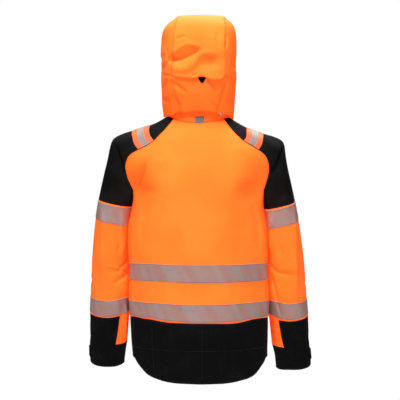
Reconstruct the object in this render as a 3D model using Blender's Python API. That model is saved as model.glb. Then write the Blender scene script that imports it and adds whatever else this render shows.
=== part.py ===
"""A hi-vis work jacket with its hood up, hollow and filled out as if it were worn.

Metres, +Z up. The jacket's front faces -Y, its left side is +X, and the origin is the middle of the neck
opening at the height of the collar seam. Sizes in the tables are millimetres. The cloth is first drawn as one
sheet of cells between named style lines. Each panel is then cut from its own cells, given its wall, and
trimmed at its seams. A band, tab or label is made from the same points, moved out.
"""

import math

import bmesh
import bpy
import numpy as np
from mathutils import Matrix, Vector
from mathutils.bvhtree import BVHTree

MM = 0.001

# Cloth
WALL = 2.0  # body and sleeve cloth with its lining
HOOD_WALL = 1.6
BAND_WALL = 1.0  # reflective tape
TAB_WALL = 2.2  # cuff tabs and the hood's adjuster
LABEL_WALL = 0.8
SEAM_GAP = 0.3
SAME_CORNER = 0.02  # corners nearer than this are one
MITRE_LIMIT = 0.3  # keeps the trim short at a sharp corner
SHARP_ANGLE = 50.0

# Zip: its closed tape down the front, the slider at the top and the pull that hangs from the slider's arch
ZIP_WIDTH = 10.0
SLIDER = (9.4, 14.0, 3.0)  # across, along, thick
SLIDER_DROP = 12.0  # its middle, below the collar's top edge
SLIDER_NECK = 0.7  # width of its lower end, as a share
SLIDER_CORNER = 1.6  # radius of its upright corners
ARCH_WIDTH = 2.4
ARCH_WIRE = 1.2
ARCH_LENGTH = 11.2
ARCH_RISE = 4.0  # above the slider's face
ARCH_ROOT = 1.0  # how far it reaches into the slider's body
PULL_AXIS = 1.4  # its axis above the slider's face
PULL = (8.0, 28.0, 1.4)  # width, length from the axis, thickness
PULL_HEAD = 0.8  # above the axis
PULL_WAIST = 0.72  # width above the round end, as a share
PULL_WINDOW = (3.6, 0.9, 7.5)  # width, and where it starts and ends below the axis
PULL_CORNERS = 8  # points on each half of the pull's outline

# Hood adjuster: a small black tab under the pleat at the nape
ADJUSTER = (22.0, 17.0)  # width at the top, height
ADJUSTER_TOP = (-9.5, 120.0)  # middle of its top edge: x, z
ADJUSTER_POINT = 0.25  # width at its foot, as a share
ADJUSTER_LIFT = 0.8
ADJUSTER_CELLS = 2

# Set of the body: the left shoulder sits a little higher, and the chest leans to the left over the hips
SHOULDER_TILT = 4.5
TILT_REACH = 150.0  # distance from the middle at which a shoulder has its full tilt
TILT_BESIDE_ARM = 0.8  # share of the tilt before and behind the arm
SWAY = (
    # height, shift to the left
    (330, -3),
    (300, 0),
    (260, 3),
    (190, 5),
    (60, 4),
    (0, 4),
    (-60, 7),
    (-130, 8.5),
    (-230, 9),
    (-300, 7.5),
    (-400, 5.5),
    (-540, 3),
    (-640, 1),
    (-740, -4),
)

# Cells around each stretch between two style lines
FRONT_CELLS = 6  # zip to front raglan seam, and zip to side front
SIDE_CELLS = 3  # side front to under arm, and under arm to side seam
BACK_CELLS = 7  # side seam or back raglan seam to centre back
ARM_CELLS = 5  # raglan seam to the top of the shoulder
DENSE = 12  # steps from one key to the next on a drawn line, before it is divided into cells

# Neck to armhole. Each row is one run of cells around the whole yoke, as (x, y, z) on the left side.
# The centre lines have no x. "rows" is how many rows of cells lie between this line and the one above.
YOKE = (
    # name, rows, centre back, back raglan, behind the arm, over the arm, before the arm, front raglan, centre front
    ("neck", 0, (74, -6), (71, 50, 12), (84, 28, 19), (90, 0, 21), (84, -26, 10), (70, -50, -14), (-82, -70)),
    ("nape", 1, (92, -26), (97, 70, -22), (112, 40, 0), (119, 0, 5.5), (112, -38, -10), (96, -70, -42), (-99, -94)),
    ("knee", 1, (108, -50), (119, 84, -45), (133, 48, -14), (138, 0, -3.5), (133, -46, -24), (117, -86, -66), (-113, -118)),
    ("brace_in", 1, (113, -59), (126, 86, -51), (142, 50, -19), (147, 0, -7.5), (142, -48, -29), (124, -90, -72), (-117, -125)),
    ("brace_out", 2, (126, -88), (168, 90, -77), (187, 58, -43), (194, 0, -25.5), (187, -56, -51), (164, -102, -98), (-127, -150)),
    ("shoulder", 1, (138, -122), (191, 82, -93), (230, 58, -70), (243, 0, -41), (230, -58, -76), (186, -102, -118), (-134, -176)),
    ("scye", 2, (146, -166), (205, 66, -134), (247, 62, -128), (260, -4, -108), (247, -68, -130), (199, -92, -152), (-139, -202)),
    ("armhole", 2, (150, -212), (190, 50, -194), (254, 66, -194), (279, -8, -188), (254, -82, -192), (186, -70, -200), (-141, -230)),
)
UNDER_ARM = (185, -8, -214)
UNDER_ARM_SPREAD = (2, 16)  # how far the body and the sleeve lean out over the first 20 mm below the under arm
BACK_FULLNESS = (0.13, 0.35)  # halfway to centre back: share of the depth and of the height still to go
FRONT_FULLNESS = (0.17, 0.35)

# Armhole to hem
TORSO = (
    # name, rows, height, half width, back, front
    ("ribs", 1, -250, 192, 151, -142),
    ("flank", 1, -300, 197.5, 151, -143),
    ("chest_top", 3, -399, 199, 150, -143),
    ("chest_foot", 1, -449, 199, 149, -142),
    ("waist_top", 2, -507, 198.5, 148, -141),
    ("waist_foot", 1, -557, 198.5, 148, -141),
    ("hem_seam", 1, -564, 198.5, 148, -141),
    ("hem", 5, -669, 194, 150, -141),
)
SIDE_SEAM = (0.957, 50)  # share of the half width, depth
SIDE_FRONT = (0.925, -70)
TAIL_DROP = 62.0  # centre back below the side seam at the hem
TAIL_CORNER = 4.5  # how tightly the tail turns into the side
TAIL_CURVE = 0.2  # share of the drop that comes evenly from side seam to centre back
FRONT_RISE = 5.0  # centre front above the side seam at the hem

# Armhole to cuff: sections square to the arm
SLEEVE = (
    # name, rows, centre x, y, z, half width, half depth, roll, lean, insert edge (degrees from the outer line)
    ("sleeve_seam", 2, 242, -8, -230, 44, 82, 14, 4, 136),
    ("upper_top", 1, 243, -8.5, -236, 44.5, 82, 14, 4, 136),
    ("upper_foot", 1, 249, -13, -286, 47, 79, 13, 5, 134),
    ("biceps", 2, 255, -20, -365, 51, 73, 9, 6, 130),
    ("elbow", 2, 257.5, -27, -435, 54.5, 68, 6, 6, 127),
    ("lower_top", 2, 260, -35, -512, 57, 63, 4, 7, 124),
    ("lower_foot", 1, 262.5, -40, -558, 57.5, 61, 3.5, 8, 122),
    ("forearm_seam", 1, 263, -41, -565, 57.5, 61, 3.5, 8, 122),
    ("insert_foot", 2, 268, -49, -635, 55, 57, 3, 8, 113),
    ("tab_top", 1, 270.5, -51, -655, 53.5, 55.5, 3, 8, 113),
    ("tab_foot", 1, 274, -55, -684, 51.5, 53.5, 2, 8, 113),
    ("cuff", 1, 275, -57, -702, 50, 52, 2, 8, 113),
)
SLEEVE_SQUARENESS = 2.4
ARM_QUARTER = 66  # degrees from the outer line to the lines before and behind the arm

# Collar: a stand around the neck, leaning in a little
COLLAR_TOP = ((68, 74), (66, 46, 82), (76, 26, 84), (80, 0, 82), (76, -28, 74), (62, -56, 62), (-84, 30))
COLLAR_ROWS = (0.28, 0.34, 0.38)  # shares of the height of its rows of cells
COLLAR_WALL = 2.4

# Hood: a centre strip from the brim over the crown to the nape, and a panel on each side
HOOD_STRIP = (
    # name, rows, y, z, half width, how far its seams lie in from the middle
    ("brim", 0, -150, 266, 60, 7),
    ("forehead", 2, -94, 299, 62, 6),
    ("crown", 2, -15, 316, 64, 5),
    ("crown_back", 2, 55, 309, 66, 6),
    ("turn", 2, 108, 276, 68, 9),
    ("bulge", 3, 135, 222, 71, 14),
    ("hollow", 2, 137, 172, 75, 16),
    ("pleat", 2, 130, 121, 76, 16),
    ("lower", 2, 112, 72, 66, 11),
)
HOOD_NAPE_ROWS = 2
HOOD_MIDDLE = (-20, 170)  # y, z that the seams move towards
HOOD_STRIP_CELLS = 4
STRIP_ROUNDNESS = 2.2  # how late the strip turns down towards its seams
HOOD_TURN = "turn"  # where the side panel's top edge ends and its back edge starts
# The face opening from the chin up to the brim
FACE_EDGE = ((84, -98, 52), (98, -110, 140), (92, -126, 220))
# How far the side panel stands out from a plain patch, by its height from foot to crown
SIDE_BULGE = ((0, 0), (0.2, -6), (0.45, -7), (0.6, 2), (0.72, 9), (0.86, 22), (0.93, 18), (1, 0))
# The hood's foot lies round the collar: height as a share of the collar's, and distance out
HOOD_FOOT = (
    # share of the way from chin to centre back, share of collar height, out
    (0.0, 0.34, 0.0),
    (0.25, 0.20, 5.0),
    (0.5, -0.02, 15.0),
    (0.72, 0.16, 8.0),
    (0.86, 0.38, 2.0),
    (1.0, 0.45, 0.0),
)
CHIN_X = 44.0
HOOD_SEAT = 0.2  # gap between the corners of the hood's foot and the collar that carries it
SIDE_PANEL_SHARE = 0.8  # share of the foot, from the chin, that the side panel takes

# The largest folds: a trough from one point to the other, its half width and its depth (a ridge is negative)
FOLDS = (
    # name, from, to, half width, depth
    ("elbow_left", (215, 30, -395), (300, 25, -445), 20, 5),
    ("elbow_left_low", (205, 20, -440), (285, 30, -480), 18, 4),
    ("elbow_right", (-215, 30, -405), (-285, 30, -380), 20, 4),
    ("elbow_right_low", (-205, 15, -455), (-300, 25, -440), 20, 5),
    ("elbow_front_left", (225, -90, -400), (300, -80, -430), 20, 5),
    ("elbow_front_right", (-225, -90, -430), (-300, -80, -410), 20, 5),
    ("blade_left", (120, 130, -90), (176, 90, -190), 22, 3),
    ("blade_right", (-120, 130, -95), (-176, 90, -190), 22, 3),
    ("front_left", (150, -120, -160), (90, -140, -330), 26, 4),
    ("front_right", (-150, -120, -170), (-80, -140, -300), 26, 4),
    ("hood_slant", (78, 120, 165), (5, 138, 215), 20, 7),
    ("hood_dent", (-10, 138, 182), (-50, 132, 165), 24, 6),
    ("hood_brow", (60, 118, 238), (35, 128, 205), 16, -4),
)

ORANGE = (1.0, 0.24, 0.03)
BLACK = (0.012, 0.011, 0.013)
SILVER = (0.42, 0.36, 0.34)
STEEL = (0.10, 0.10, 0.11)


# ---------------------------------------------------------------- curves


def tangents(points):
    """Catmull-Rom slopes for points spaced by the root of their distance, so that no curve loops."""
    steps = np.linalg.norm(np.diff(points, axis=0), axis=1) ** 0.5
    knots = np.concatenate([[0], np.cumsum(steps)])
    slopes = np.empty_like(points)
    runs = np.diff(points, axis=0) / steps[:, None]
    slopes[1:-1] = (
        runs[1:] + runs[:-1] - (points[2:] - points[:-2]) / (knots[2:] - knots[:-2])[:, None]
    )
    slopes[0], slopes[-1] = runs[0], runs[-1]
    return slopes, steps


def through(points, cells):
    """Points on a smooth curve through the given ones, with cells[i] steps from point i to point i + 1."""
    points = np.asarray(points, float)
    slopes, steps = tangents(points)
    found = [points[0]]
    for i, count in enumerate(cells):
        for step in range(1, count + 1):
            t = step / count
            start, end = points[i], points[i + 1]
            leave, arrive = slopes[i] * steps[i], slopes[i + 1] * steps[i]
            found.append(
                start * (1 + 2 * t) * (1 - t) ** 2
                + leave * t * (1 - t) ** 2
                + end * t * t * (3 - 2 * t)
                - arrive * t * t * (1 - t)
            )
    return np.array(found)


def evenly(points, cells, start=0.0):
    """The line of points walked in equal cells, from a distance after its first point."""
    lengths = np.concatenate([[0], np.cumsum(np.linalg.norm(np.diff(points, axis=0), axis=1))])
    places = np.linspace(start, lengths[-1], cells + 1)
    return np.stack([np.interp(places, lengths, points[:, axis]) for axis in range(3)], axis=1)


def around(keys, runs, start=0.0):
    """One ring of points through keys, which run from one centre line to the other.

    runs gives, for each run of cells, the key that it ends at and its number of cells. The ring is mirrored
    at both ends, so it crosses the centre lines squarely.
    """
    keys = np.asarray(keys, float)
    flip = np.array([-1, 1, 1])
    ring = np.concatenate([keys[1:2] * flip, keys, keys[-2:-1] * flip])
    line = through(ring, [DENSE] * (len(ring) - 1))[DENSE:-DENSE]
    found, at = [], 0
    for stop, count in runs:
        part = evenly(line[at * DENSE : stop * DENSE + 1], count, start if not found else 0.0)
        found.extend(part if not found else part[1:])
        at = stop
    return np.array(found)


def halfway(centre, side, fullness):
    """The point between a centre line and a style line that keeps the body full there."""
    depth, height = fullness
    return (
        side[0] / 2,
        centre[1] + (side[1] - centre[1]) * depth,
        centre[2] + (side[2] - centre[2]) * height,
    )


# ---------------------------------------------------------------- style lines


def yoke_keys(side):
    """For each row of YOKE, the keys from centre front over the arm to centre back."""
    rows = []
    for _, _, back, raglan_back, behind, over, before, raglan_front, front in YOKE:
        lift = side * SHOULDER_TILT * min(1.0, over[0] / TILT_REACH)
        back, front = (0, *back), (0, *front)
        beside = lift * TILT_BESIDE_ARM
        arm = [(x, y, z + up) for (x, y, z), up in ((before, beside), (over, lift), (behind, beside))]
        rows.append(
            [
                front,
                halfway(front, raglan_front, FRONT_FULLNESS),
                raglan_front,
                *arm,
                raglan_back,
                halfway(back, raglan_back, BACK_FULLNESS),
                back,
            ]
        )
    return np.array(rows, float)


def torso_keys():
    """For each row of TORSO, the keys from centre front round the side to centre back.

    The hem's heights are set later.
    """
    rows = []
    for _, _, height, half, back, front in TORSO:
        seam = (half * SIDE_SEAM[0], SIDE_SEAM[1], height)
        side_front = (half * SIDE_FRONT[0], SIDE_FRONT[1], height)
        centre_back, centre_front = (0, back, height), (0, front, height)
        rows.append(
            [
                centre_front,
                halfway(centre_front, side_front, FRONT_FULLNESS),
                side_front,
                (half, 0, height),
                seam,
                halfway(centre_back, seam, BACK_FULLNESS),
                centre_back,
            ]
        )
    return np.array(rows, float)


def sleeve_keys(side):
    """For each row of SLEEVE, six keys round the arm.

    They run from the outer line: behind, the insert's back edge, under, its front edge, before.
    """
    rows = []
    for _, _, x, y, z, half_width, half_depth, roll, lean, insert in SLEEVE:
        roll, lean = math.radians(roll), math.radians(lean)
        out = np.array([math.cos(roll), 0, math.sin(roll)])
        aft = np.array([0, math.cos(lean), -math.sin(lean)])
        centre = np.array([x, y, z + side * SHOULDER_TILT])
        ring = []
        for angle in (0, ARM_QUARTER, insert, 180, -insert, -ARM_QUARTER):
            c, s = math.cos(math.radians(angle)), math.sin(math.radians(angle))
            c, s = (math.copysign(abs(v) ** (2 / SLEEVE_SQUARENESS), v) for v in (c, s))
            ring.append(centre + out * half_width * c + aft * half_depth * s)
        rows.append(ring)
    return np.array(rows, float)


def down(keys, cells):
    """Rows of keys made denser along every style line."""
    lines = [through(keys[:, i], cells) for i in range(keys.shape[1])]
    return np.stack(lines, axis=1)


def yoke_rows(side):
    cells = [row[1] for row in YOKE[1:]]
    runs = ((2, FRONT_CELLS), (4, ARM_CELLS), (6, ARM_CELLS), (8, BACK_CELLS))
    return np.array([around(keys, runs, ZIP_WIDTH / 2) for keys in down(yoke_keys(side), cells)])


def body_keys(side):
    """The torso's keys with the armhole's and the scye's above them, so that the lines run on smoothly."""
    yoke = yoke_keys(side)
    under = np.array(UNDER_ARM, float)
    join = [0, 1, 2, None, 6, 7, 8]
    armhole = [under if k is None else yoke[-1][k] for k in join]
    over_under = under + (-UNDER_ARM_SPREAD[0], 0, 20)
    above = [over_under if k is None else yoke[-2][k] for k in join]
    return np.concatenate([[above, armhole], torso_keys()])


def torso_rows(side):
    """From the armhole down to the hem. The lowest stretch is let down into the tail at the back."""
    cells = [1] + [row[1] for row in TORSO]
    runs = ((2, FRONT_CELLS), (3, SIDE_CELLS), (4, SIDE_CELLS), (6, BACK_CELLS))
    rows = np.array([around(keys, runs, ZIP_WIDTH / 2) for keys in down(body_keys(side), cells)[1:]])
    seam = FRONT_CELLS + 2 * SIDE_CELLS
    armhole = yoke_rows(side)[-1]
    rows[0, : FRONT_CELLS + 1] = armhole[: FRONT_CELLS + 1]
    rows[0, seam:] = armhole[-BACK_CELLS - 1 :]
    tail_rows = TORSO[-1][1]
    top, foot = TORSO[-2][2], TORSO[-1][2]
    for row in range(len(rows) - tail_rows, len(rows)):
        share = (row - (len(rows) - tail_rows) + 1) / tail_rows
        for column in range(rows.shape[1]):
            if column > seam:
                along = (column - seam) / BACK_CELLS
                corner = 1 - (1 - along) ** TAIL_CORNER
                height = foot - TAIL_DROP * (TAIL_CURVE * along + (1 - TAIL_CURVE) * corner)
            else:
                height = foot + FRONT_RISE * (1 - column / seam)
            rows[row, column, 2] = top + (height - top) * share
    return rows


def sleeve_rows(side):
    """From armhole to cuff, each row closed: outer line, back, under the arm, front, outer line."""
    yoke = yoke_keys(side)
    under = np.array(UNDER_ARM, float)
    armhole = [yoke[-1][k] if k else under for k in (4, 5, 6, 0, 2, 3)]
    over_under = under + (-UNDER_ARM_SPREAD[1], 0, 20)
    above = [yoke[-2][k] if k else over_under for k in (4, 5, 6, 0, 2, 3)]
    keys = np.concatenate([[above, armhole], sleeve_keys(side)])
    cells = [1] + [row[1] for row in SLEEVE]
    rows = []
    for ring in down(keys, cells)[1:]:
        closed = np.concatenate([ring[-1:], ring, ring[:2]])
        line = through(closed, [DENSE] * (len(closed) - 1))[DENSE:-DENSE]
        stretches = ((0, 2, ARM_CELLS), (2, 3, SIDE_CELLS), (3, 4, SIDE_CELLS), (4, 6, ARM_CELLS))
        parts = [evenly(line[a * DENSE : b * DENSE + 1], n)[:-1] for a, b, n in stretches]
        rows.append(np.concatenate(parts + [parts[0][:1]]))
    over_arm, under_arm = yoke_rows(side)[-1], torso_rows(side)[0]
    top, seam = FRONT_CELLS + ARM_CELLS, FRONT_CELLS + 2 * SIDE_CELLS
    rows[0] = np.concatenate(
        [over_arm[top : top + ARM_CELLS], under_arm[seam:FRONT_CELLS:-1], over_arm[FRONT_CELLS : top + 1]]
    )
    return np.array(rows)


def collar_rows(side):
    foot = yoke_rows(side)[0]
    back, *left, front = COLLAR_TOP
    back, front = (0, *back), (0, *front)
    raglan_back, behind, over, before, raglan_front = left
    keys = [
        front,
        halfway(front, raglan_front, FRONT_FULLNESS),
        raglan_front,
        before,
        over,
        behind,
        raglan_back,
        halfway(back, raglan_back, BACK_FULLNESS),
        back,
    ]
    runs = ((2, FRONT_CELLS), (4, ARM_CELLS), (6, ARM_CELLS), (8, BACK_CELLS))
    top = around(keys, runs, ZIP_WIDTH / 2)
    shares = np.concatenate([[0], np.cumsum(COLLAR_ROWS)])
    return np.array([foot + (top - foot) * share for share in shares])


# ---------------------------------------------------------------- hood


def hood_foot(chin_to_back):
    """The hood's lower edge on the left, from the chin to centre back, just outside the collar."""
    rows = collar_rows(1)
    foot, top = rows[0], rows[-1]
    start = int(np.argmax(foot[:, 0] > CHIN_X))
    foot, top = foot[start:], top[start:]
    lengths = np.concatenate([[0], np.cumsum(np.linalg.norm(np.diff(foot, axis=0), axis=1))])
    shares = lengths / lengths[-1]
    table = np.array(HOOD_FOOT)
    rise = np.interp(chin_to_back, *table[:, :2].T)
    out = np.interp(chin_to_back, table[:, 0], table[:, 2])
    found = []
    for share, height, distance in zip(chin_to_back, rise, out):
        low = np.array([np.interp(share, shares, foot[:, axis]) for axis in range(3)])
        high = np.array([np.interp(share, shares, top[:, axis]) for axis in range(3)])
        point = low + (high - low) * height
        away = np.array([point[0], point[1], 0])
        away /= np.linalg.norm(away)
        found.append(point + away * (distance + HOOD_WALL + HOOD_SEAT))
    return np.array(found)


def strip_rows():
    """The centre strip's middle and left seam, from the brim to the last row above the nape."""
    cells = [row[1] for row in HOOD_STRIP[1:]]
    middle, seam = [], []
    for _, _, y, z, half, sunk in HOOD_STRIP:
        inward = np.array([HOOD_MIDDLE[0] - y, HOOD_MIDDLE[1] - z], float)
        inward *= sunk / np.linalg.norm(inward)
        middle.append((0, y, z))
        seam.append((half, y + inward[0], z + inward[1]))
    return through(middle, cells), through(seam, cells)


def coons(bottom, top, front, back):
    """A smooth patch between four edges. bottom and top run front to back, front and back run upwards."""
    n, m = len(bottom) - 1, len(front) - 1
    grid = np.empty((m + 1, n + 1, 3))
    for j in range(m + 1):
        t = j / m
        for i in range(n + 1):
            s = i / n
            ruled = (1 - t) * bottom[i] + t * top[i] + (1 - s) * front[j] + s * back[j]
            corners = (1 - t) * ((1 - s) * bottom[0] + s * bottom[-1]) + t * ((1 - s) * top[0] + s * top[-1])
            grid[j, i] = ruled - corners
            grid[j, i, 0] += np.interp(t, *np.array(SIDE_BULGE).T) * 4 * s * (1 - s)
    return grid


def hood_grids():
    """The left side panel and the strip from its middle to its left seam."""
    middle, seam = strip_rows()
    turn = sum(row[1] for row in HOOD_STRIP[: 1 + [row[0] for row in HOOD_STRIP].index(HOOD_TURN)])
    half = HOOD_STRIP_CELLS // 2
    nape = hood_foot(np.linspace(SIDE_PANEL_SHARE, 1, half + 1))
    joined_seam = through([*seam[-3:], nape[0]], [1, 1, HOOD_NAPE_ROWS])[-HOOD_NAPE_ROWS - 1 :]
    joined_middle = through([*middle[-3:], nape[-1]], [1, 1, HOOD_NAPE_ROWS])[-HOOD_NAPE_ROWS - 1 :]
    seam = np.concatenate([seam[:-1], joined_seam])
    middle = np.concatenate([middle[:-1], joined_middle])
    top, back = seam[: turn + 1], seam[turn:][::-1]
    bottom = hood_foot(np.linspace(0, SIDE_PANEL_SHARE, len(top)))
    face = through([bottom[0], *FACE_EDGE, top[0]], [DENSE] * (len(FACE_EDGE) + 1))
    side = coons(bottom, top, evenly(face, len(back) - 1), back)
    shares = np.linspace(0, 1, half + 1)  # 0 at the middle, 1 at the seam
    shares = np.stack([shares, shares**STRIP_ROUNDNESS, shares**STRIP_ROUNDNESS], axis=1)
    strip = middle[:, None] + (seam - middle)[:, None] * shares
    strip[-1] = nape[::-1]
    return side, strip


# ---------------------------------------------------------------- set and folds


def settled(point):
    """A point of the plain pattern moved to where the worn cloth hangs."""
    heights, shifts = np.array(sorted(SWAY)).T
    x, y, z = point
    return np.array([x + np.interp(z, heights, shifts), y, z])


def fold_depth(point):
    total = 0.0
    for _, start, end, half_width, depth in FOLDS:
        start, end = np.array(start, float), np.array(end, float)
        run = end - start
        along = np.clip(np.dot(point - start, run) / np.dot(run, run), 0, 1)
        distance = np.linalg.norm(point - start - run * along)
        total += depth * math.exp(-((distance / half_width) ** 2))
    return total


# ---------------------------------------------------------------- sheet of cells


class Sheet:
    """One skin of cells that share their corners, each tagged with the pieces that it belongs to."""

    def __init__(self):
        self.mesh = bmesh.new()
        self.tag = self.mesh.faces.layers.int.new("pieces")
        self.kinds = []

    def add(self, grid, pieces_at, mirrored=False):
        """grid is rows of points. pieces_at(row, column) names the pieces that a cell belongs to."""
        corners = [[self.mesh.verts.new(settled(p) * MM) for p in row] for row in grid]
        for r in range(len(grid) - 1):
            for c in range(len(grid[0]) - 1):
                pieces = pieces_at(r, c)
                if not pieces:
                    continue
                loop = [corners[r][c], corners[r][c + 1], corners[r + 1][c + 1], corners[r + 1][c]]
                face = self.mesh.faces.new(loop if mirrored else loop[::-1])
                if pieces not in self.kinds:
                    self.kinds.append(pieces)
                face[self.tag] = self.kinds.index(pieces)

    def close(self):
        """Joins the cells at their shared corners, presses the folds in and splits every cell."""
        bmesh.ops.remove_doubles(self.mesh, verts=self.mesh.verts, dist=SAME_CORNER * MM)
        loose = [v for v in self.mesh.verts if not v.link_faces]
        bmesh.ops.delete(self.mesh, geom=loose, context="VERTS")
        self.mesh.normal_update()
        moves = [v.normal * fold_depth(np.array(v.co) / MM) * MM for v in self.mesh.verts]
        for vert, move in zip(self.mesh.verts, moves):
            vert.co -= move
        bmesh.ops.triangulate(self.mesh, faces=self.mesh.faces, quad_method="SHORT_EDGE")
        self.mesh.normal_update()
        self.mesh.verts.index_update()

    def cells(self, piece):
        return [f for f in self.mesh.faces if piece in self.kinds[f[self.tag]]]


def trim_moves(faces, distance):
    """How far each border corner of these faces moves in from its seam.

    The move is square to the corner's own normal, which the neighbouring piece shares, so the two part even
    where they meet in a fold.
    """
    chosen = set(faces)
    inward = {}
    for face in faces:
        for loop in face.loops:
            if sum(f in chosen for f in loop.edge.link_faces) != 1:
                continue
            run = (loop.link_loop_next.vert.co - loop.vert.co).normalized()
            inside = face.normal.cross(run)
            for vert in loop.edge.verts:
                push = inside * face.normal.dot(vert.normal) - face.normal * inside.dot(vert.normal)
                inward.setdefault(vert, []).append(push.normalized())
    moves = {}
    for vert, pushes in inward.items():
        first, last = pushes[0], pushes[-1]
        moves[vert] = (first + last) * (distance / max(MITRE_LIMIT, 1 + first.dot(last)))
    return moves


def cut(sheet, piece, inner, outer, trim=SEAM_GAP / 2):
    """A closed wall on the cells of one piece, from inner to outer millimetres off the sheet."""
    faces = sheet.cells(piece)
    moves = trim_moves(faces, trim * MM)
    wall = bmesh.new()
    corners = {}
    for face in faces:
        for vert in face.verts:
            if vert not in corners:
                place = vert.co + moves.get(vert, Vector())
                corners[vert] = [wall.verts.new(place + vert.normal * (lift * MM)) for lift in (outer, inner)]
    chosen = set(faces)
    for face in faces:
        wall.faces.new([corners[v][0] for v in face.verts])
        wall.faces.new([corners[v][1] for v in reversed(face.verts)])
        for loop in face.loops:
            if sum(f in chosen for f in loop.edge.link_faces) == 1:
                add_rim(wall, loop.vert, loop.link_loop_next.vert, corners)
    return wall


def add_rim(wall, start, end, corners):
    """The edge of a wall between two border corners.

    It is split the same way as the neighbouring piece's edge, so that the two stay parallel where it twists.
    """
    (a_out, a_in), (b_out, b_in) = corners[start], corners[end]
    if start.index < end.index:
        wall.faces.new([b_out, a_out, b_in])
        wall.faces.new([a_out, a_in, b_in])
    else:
        wall.faces.new([b_out, a_out, a_in])
        wall.faces.new([b_out, a_in, b_in])


# ---------------------------------------------------------------- objects


def material(name, colour, roughness, metallic=0.0):
    found = bpy.data.materials.get(name)
    if found is None:
        found = bpy.data.materials.new(name)
        found.use_nodes = True
        shader = found.node_tree.nodes["Principled BSDF"]
        shader.inputs["Base Color"].default_value = (*colour, 1)
        shader.inputs["Roughness"].default_value = roughness
        shader.inputs["Metallic"].default_value = metallic
    return found


def place(name, mesh, finish, smooth=True):
    data = bpy.data.meshes.new(name)
    mesh.to_mesh(data)
    mesh.free()
    data.materials.append(finish)
    if smooth:
        data.shade_smooth()
        data.set_sharp_from_angle(angle=math.radians(SHARP_ANGLE))
    thing = bpy.data.objects.new(name, data)
    bpy.context.collection.objects.link(thing)
    return thing


def station(table, name):
    """The row of cells at which a named line of a table lies."""
    names = [row[0] for row in table]
    return sum(row[1] for row in table[: names.index(name) + 1])


def clothed():
    """The sheet of the whole jacket without its hood, with every cell's pieces named."""
    sheet = Sheet()
    brace = (station(YOKE, "brace_in"), station(YOKE, "brace_out"))
    chest = (station(TORSO, "chest_top"), station(TORSO, "chest_foot"))
    waist = (station(TORSO, "waist_top"), station(TORSO, "waist_foot"))
    hem = station(TORSO, "hem_seam")
    seam = station(SLEEVE, "sleeve_seam")
    upper = (station(SLEEVE, "upper_top"), station(SLEEVE, "upper_foot"))
    lower = (station(SLEEVE, "lower_top"), station(SLEEVE, "lower_foot"))
    forearm, insert = station(SLEEVE, "forearm_seam"), station(SLEEVE, "insert_foot")
    tab = (station(SLEEVE, "tab_top"), station(SLEEVE, "tab_foot"))
    flip = np.array([-1, 1, 1])
    for side, hand in ((1, "left"), (-1, "right")):

        def yoke_pieces(row, column):
            if column < FRONT_CELLS:
                return (f"front_{hand}",)
            if column < FRONT_CELLS + 2 * ARM_CELLS:
                on_brace = brace[0] <= row < brace[1]
                return (f"shoulder_{hand}",) + ((f"band_shoulder_{hand}",) if on_brace else ())
            return ("back_panel",)

        def torso_pieces(row, column):
            in_front = column < FRONT_CELLS + 2 * SIDE_CELLS
            if row >= hem:
                return (f"front_hem_{hand}",) if in_front else ("back_hem",)
            bands = [name for name, (a, b) in (("band_chest", chest), ("band_waist", waist)) if a <= row < b]
            return (f"front_{hand}" if in_front else "back_panel", *bands)

        def sleeve_pieces(row, column):
            in_insert = ARM_CELLS <= column < ARM_CELLS + 2 * SIDE_CELLS
            if row < seam:
                return (f"shoulder_{hand}",)
            if row < forearm or (row < insert and in_insert):
                tapes = (("band_upper_arm", upper), ("band_forearm", lower))
                bands = [name for name, (start, end) in tapes if start <= row < end]
                return (f"sleeve_{hand}", *(f"{name}_{hand}" for name in bands))
            on_tab = tab[0] <= row < tab[1] and (column < 1 or column >= 2 * (ARM_CELLS + SIDE_CELLS) - 3)
            return (f"forearm_{hand}",) + ((f"cuff_tab_{hand}",) if on_tab else ())

        def collar_pieces(row, column):
            at_back = column == FRONT_CELLS + 2 * ARM_CELLS + BACK_CELLS - 1
            return ("collar",) + (("neck_tab",) if row == 0 and at_back else ())

        mirrored = side < 0
        turn = flip if mirrored else 1
        yoke, torso, collar = yoke_rows(side), torso_rows(side), collar_rows(side)
        sheet.add(yoke * turn, yoke_pieces, mirrored)
        sheet.add(torso * turn, torso_pieces, mirrored)
        sheet.add(sleeve_rows(side) * turn, sleeve_pieces, mirrored)
        sheet.add(collar[::-1] * turn, lambda r, c: collar_pieces(len(COLLAR_ROWS) - 1 - r, c), mirrored)
        if side > 0:
            line = np.concatenate([collar[::-1, 0], yoke[1:, 0], torso[1:, 0]])
            sheet.add(np.stack([line * flip, line], axis=1), lambda r, c: ("zip",))
    sheet.close()
    return sheet


def hooded():
    sheet = Sheet()
    side, strip = hood_grids()
    pleat = station(HOOD_STRIP, "pleat")
    flip = np.array([-1, 1, 1])
    for hand, turn, mirrored in (("left", 1, False), ("right", flip, True)):
        sheet.add(side[::-1] * turn, lambda r, c: (f"hood_side_{hand}",), mirrored)
        strip_piece = lambda r, c: ("hood_crown",) if r < pleat else ("hood_nape",)
        sheet.add(strip[:, ::-1] * turn, strip_piece, mirrored)
    sheet.close()
    return sheet


# ---------------------------------------------------------------- hard pieces and adjuster


def touch(tree, x, z, from_back):
    """The point of the cloth met by a level line from behind or before, and the way out of the cloth there."""
    way = Vector((0, -1 if from_back else 1, 0))
    point, normal, _, _ = tree.ray_cast(Vector((x * MM, 0, z * MM)) - way, way)
    return point, normal if normal.dot(way) < 0 else -normal


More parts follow.
